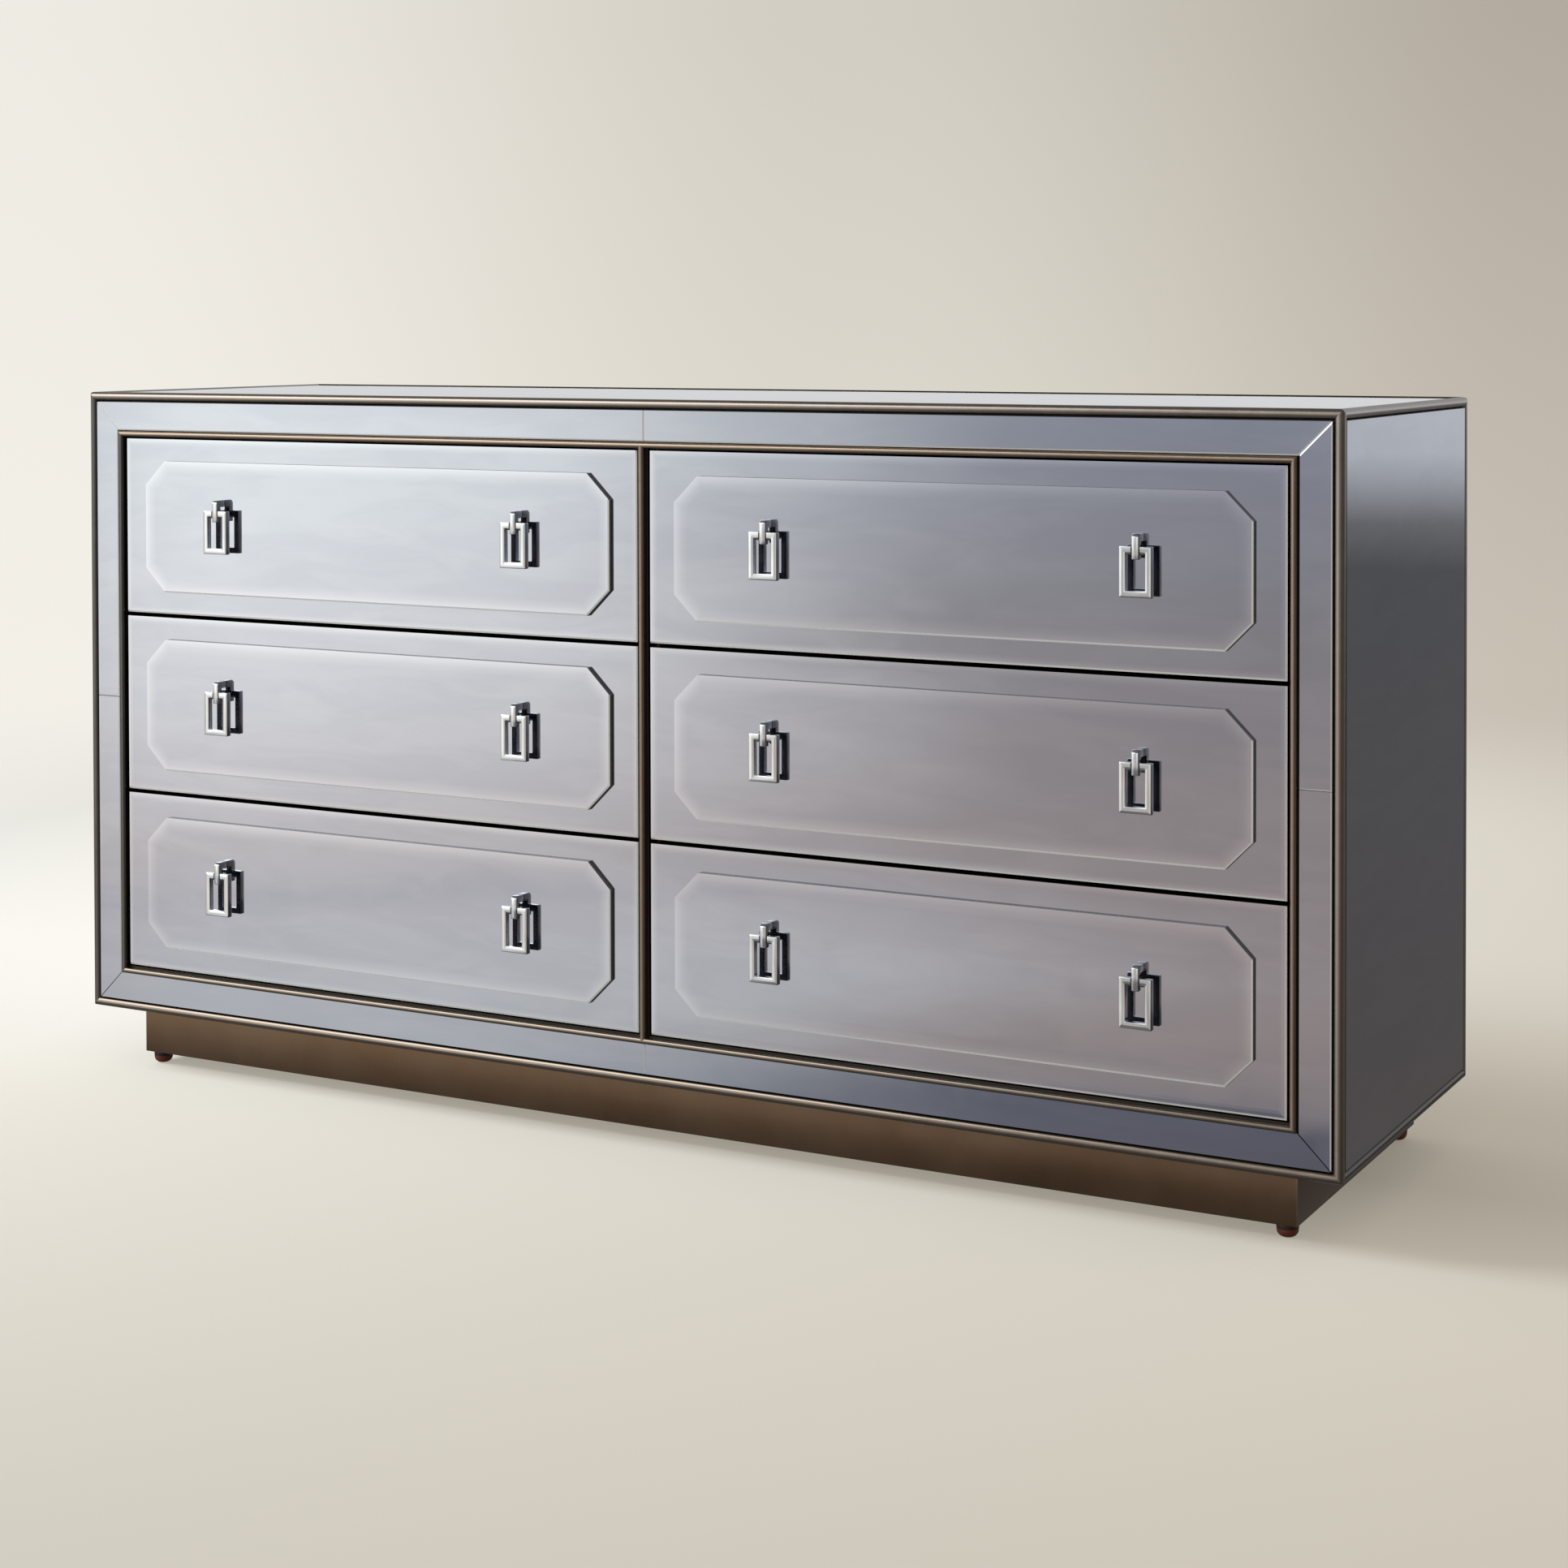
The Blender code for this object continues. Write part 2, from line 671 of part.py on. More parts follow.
def make_post(name, slide, pull_x, material):
    """Arm and downward tab in one bar, with its screw through the drawer front."""
    half = POST_WIDTH / 2
    arm_low = PULL_TOP - ARM_HEIGHT
    tab_low = PULL_TOP - TAB_LENGTH
    tab_back = POST_FACE + TAB_THICKNESS
    outline = [
        (POST_BACK, PULL_TOP),
        (POST_BACK, arm_low),
        (tab_back, arm_low),
        (tab_back, tab_low),
        (POST_FACE, tab_low),
        (POST_FACE, PULL_TOP - ELBOW_CHAMFER),
        (POST_FACE + ELBOW_CHAMFER, PULL_TOP),
    ]
    bm = prism(outline, pull_x - half, pull_x + half, in_side_plane)
    bmesh.ops.recalc_face_normals(bm, faces=bm.faces)
    bevel_all(bm, POST_ARRIS)
    post = add_object(name, bm, material, parent=slide)

    pin_z = PULL_TOP - BAIL_DROP - PIN_DROP
    bore = rod(
        PIN_RADIUS + PIN_CLEARANCE,
        (pull_x - POST_WIDTH, PIN_DEPTH, pin_z),
        (pull_x + POST_WIDTH, PIN_DEPTH, pin_z),
        ROUND_SIDES,
    )
    combine(post, add_object("pin_bore", bore, parent=slide), "DIFFERENCE")

    stud_z = PULL_TOP - ARM_HEIGHT / 2
    head_front = FRONT_BOARD_BACK + SEAT
    head_back = head_front + SCREW_HEAD_HEIGHT
    stud = rod(
        STUD_RADIUS,
        (pull_x, POST_BACK - JOIN_OVERLAP, stud_z),
        (pull_x, head_front + JOIN_OVERLAP, stud_z),
        ROUND_SIDES,
    )
    combine(post, add_object("stud", stud, parent=slide), "UNION")
    head = rod(
        SCREW_HEAD_RADIUS,
        (pull_x, head_front, stud_z),
        (pull_x, head_back, stud_z),
        ROUND_SIDES,
    )
    combine(post, add_object("screw_head", head, parent=slide), "UNION")


def make_bail(name, slide, pull_x, material):
    """Open rectangle of square bar, notched at the top round the tab, with the pin across."""
    pin_z = PULL_TOP - BAIL_DROP - PIN_DROP
    half_w, half_t = BAIL_WIDTH / 2, BAIL_BAR / 2
    top = PIN_DROP
    low = (-half_w, top - BAIL_HEIGHT)
    high = (half_w, top)
    section = [
        (0, half_t - BAIL_ARRIS),
        (0, BAIL_ARRIS - half_t),
        (BAIL_ARRIS, -half_t),
        (BAIL_BAR - BAIL_ARRIS, -half_t),
        (BAIL_BAR, BAIL_ARRIS - half_t),
        (BAIL_BAR, half_t - BAIL_ARRIS),
        (BAIL_BAR - BAIL_ARRIS, half_t),
        (BAIL_ARRIS, half_t),
    ]
    bm = mitred_ring(section, low, high, in_front_plane)
    bail = add_object(
        name, bm, material, location=(pull_x, PIN_DEPTH, pin_z), parent=slide
    )
    notch_half = POST_WIDTH / 2 + NOTCH_CLEARANCE
    for side in (-1, 1):
        inner = side * (notch_half - JOIN_OVERLAP / 2)
        outer = side * (notch_half + KNUCKLE_LENGTH)
        bm = rod(KNUCKLE_RADIUS, (inner, 0, 0), (outer, 0, 0), ROUND_SIDES)
        knuckle = add_object("knuckle", bm, location=bail.location, parent=slide)
        combine(bail, knuckle, "UNION")
    bm = box(
        (-notch_half, -BAIL_BAR, -KNUCKLE_RADIUS - JOIN_OVERLAP),
        (notch_half, BAIL_BAR, top + JOIN_OVERLAP),
    )
    notch = add_object("notch", bm, location=bail.location, parent=slide)
    combine(bail, notch, "DIFFERENCE")
    reach = notch_half + KNUCKLE_LENGTH / 2
    bm = rod(PIN_RADIUS, (-reach, 0, 0), (reach, 0, 0), ROUND_SIDES)
    pin = add_object("pin", bm, location=bail.location, parent=slide)
    combine(bail, pin, "UNION")


def make_drawer(row, column, finishes):
    name = f"drawer_{ROWS[row]}_{COLUMNS[column]}"
    slide = bpy.data.objects.new(f"{name}_slide", None)
    bpy.context.scene.collection.objects.link(slide)
    centre_x = column_left(column) + FRONT_WIDTH / 2
    centre_z = row_bottom(row) + FRONT_HEIGHT / 2
    slide.location = (centre_x, CASE_FRONT, centre_z)
    bpy.context.view_layer.update()
    make_drawer_box(f"{name}_box", slide, finishes["drawer_wood"])
    make_drawer_mirrors(name, slide, finishes["mirror"])
    for label, side in (("a", -1), ("b", 1)):
        pull_x = side * PULL_SPACING / 2
        make_post(f"{name}_post_{label}", slide, pull_x, finishes["chrome"])
        make_bail(f"{name}_bail_{label}", slide, pull_x, finishes["chrome"])


def main():
    clear_scene()
    finishes = {
        "case_wood": finish("case_wood", (0.36, 0.24, 0.15), 0.0, 0.6),
        "back_wood": finish("back_wood", (0.22, 0.16, 0.11), 0.0, 0.7),
        "drawer_wood": finish("drawer_wood", (0.55, 0.42, 0.28), 0.0, 0.55),
        "mirror": finish("smoky_mirror", (0.62, 0.65, 0.70), 1.0, 0.04),
        "bronze": finish("antique_bronze", (0.30, 0.24, 0.20), 0.8, 0.35),
        "plinth_bronze": finish("plinth_bronze", (0.16, 0.12, 0.09), 0.3, 0.45),
        "chrome": finish("polished_chrome", (0.80, 0.81, 0.82), 1.0, 0.08),
        "foot": finish("foot_brown", (0.22, 0.06, 0.03), 0.0, 0.5),
    }
    make_case(finishes)
    make_face_frame(finishes)
    make_edge_moulding(finishes)
    make_opening_bead(finishes)
    make_case_mirrors(finishes)
    make_plinth(finishes)
    for row in range(len(ROWS)):
        for column in range(len(COLUMNS)):
            make_drawer(row, column, finishes)
    bpy.context.view_layer.update()


main()
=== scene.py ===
import math

import bpy
from mathutils import Matrix, Vector


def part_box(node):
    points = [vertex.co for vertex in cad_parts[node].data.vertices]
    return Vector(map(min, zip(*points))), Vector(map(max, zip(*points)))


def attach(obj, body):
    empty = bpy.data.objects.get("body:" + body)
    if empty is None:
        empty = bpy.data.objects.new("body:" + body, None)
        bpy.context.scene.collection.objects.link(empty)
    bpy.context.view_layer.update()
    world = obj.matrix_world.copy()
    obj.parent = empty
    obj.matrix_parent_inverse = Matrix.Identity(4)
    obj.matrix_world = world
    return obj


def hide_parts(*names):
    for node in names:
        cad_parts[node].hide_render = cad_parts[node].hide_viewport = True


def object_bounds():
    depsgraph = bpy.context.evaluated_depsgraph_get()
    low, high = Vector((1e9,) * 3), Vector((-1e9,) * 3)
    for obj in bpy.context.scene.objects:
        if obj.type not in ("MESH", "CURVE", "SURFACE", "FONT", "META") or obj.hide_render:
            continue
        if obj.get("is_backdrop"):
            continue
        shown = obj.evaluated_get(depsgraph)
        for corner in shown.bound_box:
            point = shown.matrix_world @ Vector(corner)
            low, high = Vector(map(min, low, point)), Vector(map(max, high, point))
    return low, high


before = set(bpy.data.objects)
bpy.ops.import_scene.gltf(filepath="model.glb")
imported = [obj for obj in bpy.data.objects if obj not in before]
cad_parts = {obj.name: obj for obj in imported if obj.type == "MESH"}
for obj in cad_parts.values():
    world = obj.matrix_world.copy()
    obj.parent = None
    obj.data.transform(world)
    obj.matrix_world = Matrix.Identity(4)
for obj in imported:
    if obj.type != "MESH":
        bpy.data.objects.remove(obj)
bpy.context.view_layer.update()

# ------------------------------------------------------------------ case boards
# The case is a box of stained particle board, mitred and glued at its corners, with a
# partition up the middle and a runner ledge glued on for each side of each drawer. A thin
# hardboard back is screwed into the rear edges.

X, Y, Z = Vector((1, 0, 0)), Vector((0, 1, 0)), Vector((0, 0, 1))
# Places nearer together than this are the same place
TOUCH = 1e-5


def feed(tree, socket, value):
    """Fills a socket with a value, with a colour that has no alpha, or from another socket."""
    if isinstance(value, bpy.types.NodeSocket):
        tree.links.new(value, socket)
    else:
        socket.default_value = (*value, 1.0) if socket.type == "RGBA" else value


def put(tree, kind, feeds=None, **options):
    """Adds a node, sets its options and feeds its sockets."""
    node = tree.nodes.new("ShaderNode" + kind)
    for name, value in options.items():
        setattr(node, name, value)
    for socket, value in (feeds or {}).items():
        feed(tree, node.inputs[socket], value)
    return node


def blend_colours(tree, factor, first, second):
    return put(tree, "Mix", {0: factor, 6: first, 7: second}, data_type="RGBA").outputs[2]


def spread(tree, value, low, high, to_low=0.0, to_high=1.0, step="LINEAR"):
    """Stretches the part of a value between low and high over a new range."""
    feeds = {0: value, 1: low, 2: high, 3: to_low, 4: to_high}
    return put(tree, "MapRange", feeds, interpolation_type=step).outputs[0]


def reckon(tree, operation, first, second):
    return put(tree, "Math", {0: first, 1: second}, operation=operation).outputs[0]


def laid(tree, place, scale, slant=0.0):
    """Coordinates for a pattern, slanted by degrees about Y and stretched."""
    feeds = {"Vector": place, "Rotation": (0, math.radians(slant), 0), "Scale": scale}
    return put(tree, "Mapping", feeds).outputs[0]


def own_place(tree, scale=(1, 1, 1)):
    """The piece's own coordinates in metres, stretched for a pattern."""
    return laid(tree, put(tree, "TexCoord").outputs["Object"], scale)


def noise(tree, scale, detail, place=None, **feeds):
    """Cloudy greys round 0.5, by the piece's own coordinates where no place is given."""
    place = own_place(tree) if place is None else place
    feeds = {"Vector": place, "Scale": scale, "Detail": detail, **feeds}
    return put(tree, "TexNoise", feeds).outputs["Fac"]


def raise_surface(tree, shader, height, distance):
    bump = put(tree, "Bump", {"Strength": 1.0, "Distance": distance, "Height": height})
    feed(tree, shader["Normal"], bump.outputs["Normal"])


def new_group(name, inputs, outputs):
    """An empty node group, with its sockets given as {name: kind}."""
    group = bpy.data.node_groups.new(name, "ShaderNodeTree")
    for way, sockets in (("INPUT", inputs), ("OUTPUT", outputs)):
        for label, kind in sockets.items():
            group.interface.new_socket(name=label, in_out=way, socket_type="NodeSocket" + kind)
    start, end = group.nodes.new("NodeGroupInput"), group.nodes.new("NodeGroupOutput")
    return group, start.outputs, end.inputs


def use_group(tree, group, **feeds):
    node = tree.nodes.new("ShaderNodeGroup")
    node.node_tree = group
    for label, value in feeds.items():
        feed(tree, node.inputs[label.replace("_", " ").capitalize()], value)
    return node.outputs


def new_finish(name, metallic=0.0, roughness=0.5, specular=0.5):
    finish = bpy.data.materials.new(name)
    finish.use_nodes = True
    shader = finish.node_tree.nodes["Principled BSDF"].inputs
    shader["Metallic"].default_value = metallic
    shader["Roughness"].default_value = roughness
    shader["Specular IOR Level"].default_value = specular
    return finish, finish.node_tree, shader


# Wood grain: long fibres over slow bands of early and late growth
grain, ins, outs = new_group(
    "wood_grain",
    {"Vector": "Vector", "Pale": "Color", "Dark": "Color", "Bands": "Float"},
    {"Colour": "Color", "Roughness": "Float", "Height": "Float"},
)
slow = noise(grain, ins["Bands"], 3.0, ins["Vector"], Distortion=1.2)
fibre = noise(grain, 260.0, 4.0, ins["Vector"], Roughness=0.65)
both = reckon(grain, "ADD", slow, fibre)
growth = spread(grain, both, 0.8, 1.25)
feed(grain, outs["Colour"], blend_colours(grain, growth, ins["Dark"], ins["Pale"]))
feed(grain, outs["Roughness"], spread(grain, fibre, 0.3, 0.7, 0.62, 0.48))
feed(grain, outs["Height"], both)

# Worn edges and edge highlight: a soft mask that is 1 on an outside corner, broken up along its
# length, by which edges are paled as wear and as a painted highlight
edge_wear_and_highlight, ins, outs = new_group(
    "edge_wear_and_highlight", {"Reach": "Float", "Patches": "Float"}, {"Mask": "Float"}
)
rounded = put(edge_wear_and_highlight, "Bevel", {"Radius": ins["Reach"]}, samples=4).outputs[0]
flat = put(edge_wear_and_highlight, "NewGeometry").outputs["Normal"]
facing = put(edge_wear_and_highlight, "VectorMath", {0: rounded, 1: flat}, operation="DOT_PRODUCT")
at_corner = spread(edge_wear_and_highlight, facing.outputs["Value"], 0.985, 0.8)
patches = spread(edge_wear_and_highlight, noise(edge_wear_and_highlight, ins["Patches"], 3.0), 0.3, 0.6, 0.35, 1.0)
feed(edge_wear_and_highlight, outs["Mask"], reckon(edge_wear_and_highlight, "MULTIPLY", at_corner, patches))

ALONG_FIBRES, WOOD_RELIEF = 0.07, 0.00012


def wood_finish(name, axis, pale, dark, bands=14.0):
    """Wood whose fibres run along axis 0, 1 or 2."""
    finish, tree, shader = new_finish(name)
    scale = [1.0, 1.0, 1.0]
    scale[axis] = ALONG_FIBRES
    grained = use_group(
        tree, grain, vector=own_place(tree, scale), pale=pale, dark=dark, bands=bands
    )
    feed(tree, shader["Base Color"], grained["Colour"])
    feed(tree, shader["Roughness"], grained["Roughness"])
    raise_surface(tree, shader, grained["Height"], WOOD_RELIEF)
    return finish


def mottled(name, scale, first, second, relief=0.0, **look):
    """A finish whose tone is finely broken up between two colours."""
    finish, tree, shader = new_finish(name, **look)
    specks = noise(tree, scale, 3.0)
    feed(tree, shader["Base Color"], blend_colours(tree, specks, first, second))
    if relief:
        raise_surface(tree, shader, specks, relief)
    return finish


CASE_PALE, CASE_DARK = (0.20, 0.125, 0.075), (0.085, 0.05, 0.03)
case_across = wood_finish("case_board_across", 0, CASE_PALE, CASE_DARK)
case_upright = wood_finish("case_board_upright", 2, CASE_PALE, CASE_DARK)

# Hardboard: pressed fibres, a little darker in patches
hardboard, tree, shader = new_finish("hardboard", roughness=0.72)
fibres = noise(tree, 420.0, 5.0)
darker = spread(tree, noise(tree, 5.0, 4.0), 0.4, 0.7, 0.0, 0.35)
speckled = blend_colours(
    tree, spread(tree, fibres, 0.35, 0.65), (0.115, 0.075, 0.046), (0.19, 0.128, 0.08)
)
feed(tree, shader["Base Color"], blend_colours(tree, darker, speckled, (0.09, 0.06, 0.038)))
raise_surface(tree, shader, fibres, 0.00015)

for node, finish in (
    ("top_panel", case_across),
    ("bottom_panel", case_across),
    ("side_panel_left", case_upright),
    ("side_panel_right", case_upright),
    ("centre_partition", case_upright),
    ("back_panel", hardboard),
):
    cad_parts[node].material_slots[0].material = finish


def put_down():
    """Leaves edit mode and selects nothing, so that the next tool works on its own piece."""
    active = bpy.context.view_layer.objects.active
    if active and active.mode != "OBJECT":
        bpy.ops.object.mode_set(mode="OBJECT")
    bpy.ops.object.select_all(action="DESELECT")


def pick_up(piece):
    put_down()
    piece.select_set(True)
    bpy.context.view_layer.objects.active = piece


def throw_away(*pieces):
    for piece in pieces:
        bpy.data.objects.remove(piece)


def named(piece, name):
    piece.name = piece.data.name = name
    return piece


def block(name, low, high):
    """A squared piece of stock between two corners."""
    put_down()
    low, high = Vector(low), Vector(high)
    bpy.ops.mesh.primitive_cube_add(size=1, location=(low + high) / 2, scale=high - low)
    bpy.ops.object.transform_apply(location=True, rotation=True, scale=True)
    return named(bpy.context.active_object, name)


def round_bar(name, start, end, radius, sides=24):
    """A round bar between two points on one line along X, Y or Z."""
    put_down()
    start, end = Vector(start), Vector(end)
    run = end - start
    bpy.ops.mesh.primitive_cylinder_add(
        vertices=sides,
        radius=radius,
        depth=run.length,
        location=(start + end) / 2,
        rotation=run.to_track_quat("Z", "Y").to_euler(),
    )
    bpy.ops.object.transform_apply(location=True, rotation=True, scale=True)
    return named(bpy.context.active_object, name)


def choose(piece, kind, *wanted):
    """Opens a piece in edit mode, with the faces or edges selected that pass every test."""
    pick_up(piece)
    bpy.ops.object.mode_set(mode="EDIT")
    bpy.ops.mesh.select_mode(type=kind)
    bpy.ops.mesh.select_all(action="DESELECT")
    bpy.ops.object.mode_set(mode="OBJECT")
    mesh = piece.data
    if kind == "FACE":
        rows = [(face, face.center, face.normal) for face in mesh.polygons]
    else:
        rows = [(edge, *(mesh.vertices[i].co for i in edge.vertices)) for edge in mesh.edges]
    for element, first, second in rows:
        element.select = all(test(first, second) for test in wanted)
    bpy.ops.object.mode_set(mode="EDIT")


def lies_at(way, level):
    """A test for edges that lie at one level, measured along a direction."""
    return lambda a, b: abs(a.dot(way) - level) < TOUCH and abs(b.dot(way) - level) < TOUCH


def plane_off(piece, width, steps, *wanted):
    """Takes the wanted edges off a piece, flat with one step or rounded with more."""
    choose(piece, "EDGE", *wanted)
    bpy.ops.mesh.bevel(offset=width, segments=steps, profile=0.5, affect="EDGES")
    put_down()


def saw(piece, point, normal):
    """Cuts a piece at a plane and drops the side that the normal points to."""
    choose(piece, "FACE")
    bpy.ops.mesh.bisect(plane_co=point, plane_no=normal, use_fill=True, clear_outer=True)
    put_down()


def cut_away(piece, tool):
    """Cuts a shape out of a piece and throws the shape away."""
    pick_up(piece)
    cut = piece.modifiers.new("cut", "BOOLEAN")
    cut.object, cut.operation, cut.solver = tool, "DIFFERENCE", "EXACT"
    bpy.ops.object.modifier_apply(modifier="cut")
    throw_away(tool)
    put_down()


def smooth(piece, degrees=30):
    pick_up(piece)
    bpy.ops.object.shade_smooth_by_angle(angle=math.radians(degrees))
    put_down()


def paint(piece, *finishes):
    for finish in finishes:
        piece.data.materials.append(finish)


def copy_of(piece, name, shift):
    """A copy with its own mesh, moved by a shift."""
    twin = named(piece.copy(), name)
    twin.data = piece.data.copy()
    twin.data.name = name
    twin.data.transform(Matrix.Translation(shift))
    bpy.context.scene.collection.objects.link(twin)
    return twin


def fit(piece, body, slot, *nodes):
    """Fixes a finished piece to a body of the frame, in place of the nodes that it stands for."""
    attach(piece, body)
    if nodes:
        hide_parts(*nodes)


# Zinc screws: round, shallow head with a cross recess
zinc = mottled(
    "zinc_plate",
    700.0,
    (0.42, 0.42, 0.40),
    (0.62, 0.61, 0.57),
    0.00003,
    metallic=1.0,
    roughness=0.38,
)


def screw_head(name, radius, height):
    """A domed head on the plane y = 0 that points to +Y."""
    head = round_bar(name, (0, 0, 0), (0, height, 0), radius)
    plane_off(head, height * 0.7, 3, lies_at(Y, height))
    arm, slot = radius * 0.55, radius * 0.13
    for x, z in ((slot, arm), (arm, slot)):
        cut_away(head, block("cross", (-x, height * 0.35, -z), (x, height * 2, z)))
    smooth(head)
    paint(head, zinc)
    return head


SCREW_COLUMNS, SCREW_ROWS, SCREW_INSET = (-0.76, -0.38, 0.0, 0.38, 0.76), (0.33, 0.58), 0.012
BACK_SCREW_RADIUS, BACK_SCREW_HEIGHT = 0.0036, 0.0014
back_low, back_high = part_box("back_panel")
back_screw = screw_head("back_screw", BACK_SCREW_RADIUS, BACK_SCREW_HEIGHT)
outer_columns = back_low.x + SCREW_INSET, back_high.x - SCREW_INSET
outer_rows = back_low.z + SCREW_INSET, back_high.z - SCREW_INSET
spots = [(x, z) for x in SCREW_COLUMNS for z in outer_rows]
spots += [(x, z) for x in (*outer_columns, 0.0) for z in SCREW_ROWS]
for number, (x, z) in enumerate(spots, 1):
    screw = copy_of(back_screw, f"back_screw_{number}", (x, back_high.y, z))
    fit(screw, "case", "polished_chrome")
throw_away(back_screw)

# ------------------------------------------------------------------ face frame
# The frame round the drawer opening is the same board, painted near black: partly its
# own brown-black paint and partly painted shade, so that it disappears in the gaps
# between the mirrors.

# Rubbed paint: clouded, with a second colour in the clouds and along the edges that the Wear mask
# gives, which is partly wear and partly a painted highlight
wear_paint, ins, outs = new_group(
    "rubbed_paint",
    {
        "Coat": "Color",
        "Rubbed": "Color",
        "Grain size": "Float",
        "Wear": "Float",
        "Cloudiness": "Float",
    },
    {"Colour": "Color", "Sheen": "Float", "Height": "Float"},
)
clouds = noise(wear_paint, ins["Grain size"], 6.0, Roughness=0.6)
clouded = spread(wear_paint, clouds, 0.35, 0.68)
clouded = reckon(wear_paint, "MULTIPLY", clouded, ins["Cloudiness"])
rub = reckon(wear_paint, "MAXIMUM", clouded, ins["Wear"])
feed(wear_paint, outs["Colour"], blend_colours(wear_paint, rub, ins["Coat"], ins["Rubbed"]))
feed(wear_paint, outs["Sheen"], spread(wear_paint, clouds, 0.3, 0.7))
feed(wear_paint, outs["Height"], noise(wear_paint, 900.0, 2.0))


def rubbed_finish(name, coat, rubbed, roughness, size, cloudiness, relief, reach=0.0, **look):
    """Paint or metal leaf, rubbed through to a second colour within a reach of its edges, as wear
    and as a painted highlight.
    """
    finish, tree, shader = new_finish(name, **look)
    edge_paling_mask = use_group(tree, edge_wear_and_highlight, reach=reach, patches=60.0)["Mask"] if reach else 0.0
    layer = use_group(
        tree, wear_paint, coat=coat, rubbed=rubbed, grain_size=size, wear=edge_paling_mask, cloudiness=cloudiness
    )
    feed(tree, shader["Base Color"], layer["Colour"])
    feed(tree, shader["Roughness"], spread(tree, layer["Sheen"], 0.0, 1.0, *roughness))
    raise_surface(tree, shader, layer["Height"], relief)
    return finish


frame_paint_and_gap_shade = rubbed_finish(
    "frame_paint_and_gap_shade",
    (0.009, 0.007, 0.006),
    (0.022, 0.016, 0.013),
    (0.38, 0.5),
    35.0,
    0.5,
    0.00005,
    reach=0.0015,
)
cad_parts["face_frame"].material_slots[0].material = frame_paint_and_gap_shade

# ------------------------------------------------------------------ plinth
# The plinth is a frame of four boards standing on edge, mitred at the corners, with a glue
# block in each corner. It is painted a dark bronze brown whose long edges are paler: partly
# rubbed and partly a painted highlight.

plinth_paint = rubbed_finish(
    "plinth_paint",
    (0.145, 0.089, 0.053),
    (0.28, 0.198, 0.136),
    (0.25, 0.34),
    7.0,
    0.34,
    0.00002,
    reach=0.0020,
    metallic=0.90,
)


def runs_along(way):
    """A test for edges that run in a direction."""
    return lambda a, b: abs((a - b).normalized().dot(way)) > 0.99


def margin(low, high, out, width):
    """The part of a box within a width of the sides that look out."""
    low, high = Vector(low), Vector(high)
    for axis in range(3):
        if out[axis] > 0:
            low[axis] = high[axis] - width
        elif out[axis] < 0:
            high[axis] = low[axis] + width
    return low, high


def corner_of(low, high, way):
    """The corner of a box that lies furthest one way."""
    return Vector([high[axis] if way[axis] > 0 else low[axis] for axis in range(3)])


def mitre(piece, low, high, along, out, gap, ends=(-1, 1)):
    """Saws ends of a piece at 45 degrees, at the corners of the frame that it is a side of."""
    for end in ends:
        corner = corner_of(low, high, along * end + out)
        saw(piece, corner - along * end * gap, along * end - out)


PLINTH_BOARD, PLINTH_MITRE_GAP = 0.018, 0.00006
plinth_low, plinth_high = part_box("plinth_frame")
for name, along, out in (("front", X, -Y), ("back", X, Y), ("left", Y, -X), ("right", Y, X)):
    board = block(f"plinth_board_{name}", *margin(plinth_low, plinth_high, out, PLINTH_BOARD))
    plane_off(board, 0.0009, 2, runs_along(along))
    mitre(board, plinth_low, plinth_high, along, out, PLINTH_MITRE_GAP)
    smooth(board)
    paint(board, plinth_paint)
    fit(board, "case", "plinth_bronze", "plinth_frame")

BLOCK_SIZE, BLOCK_GAP, BLOCK_INSET = 0.0259, 0.0001, 0.002
glue_block_wood = wood_finish("glue_block_wood", 2, (0.24, 0.16, 0.10), (0.12, 0.075, 0.045))
inwards = Vector((PLINTH_BOARD + BLOCK_GAP, PLINTH_BOARD + BLOCK_GAP, BLOCK_INSET))
for side_way, side in ((-X, "left"), (X, "right")):
    for depth_way, depth in ((-Y, "front"), (Y, "back")):
        low, high = margin(
            plinth_low + inwards, plinth_high - inwards, side_way + depth_way, BLOCK_SIZE
        )
        glue = block(f"plinth_block_{depth}_{side}", low, high)
        plane_off(glue, 0.0015, 2, runs_along(Z))
        smooth(glue)
        paint(glue, glue_block_wood)
        fit(glue, "case", "case_wood", "plinth_frame")

# ------------------------------------------------------------------ feet
# Four small levelling feet: a reddish brown moulded pad under a dark collar, on a steel
# stem that screws up into the plinth.

foot_pad_finish = rubbed_finish(
    "foot_pad", (0.135, 0.030, 0.012), (0.20, 0.055, 0.026), (0.40, 0.55), 120.0, 0.5, 0.00006
)
foot_collar_finish = rubbed_finish(
    "foot_collar", (0.022, 0.010, 0.007), (0.05, 0.026, 0.018), (0.35, 0.5), 150.0, 0.5, 0.00005
)


def runs_across(way):
    """A test for edges that run square to a direction."""
    return lambda a, b: abs((a - b).dot(way)) < TOUCH


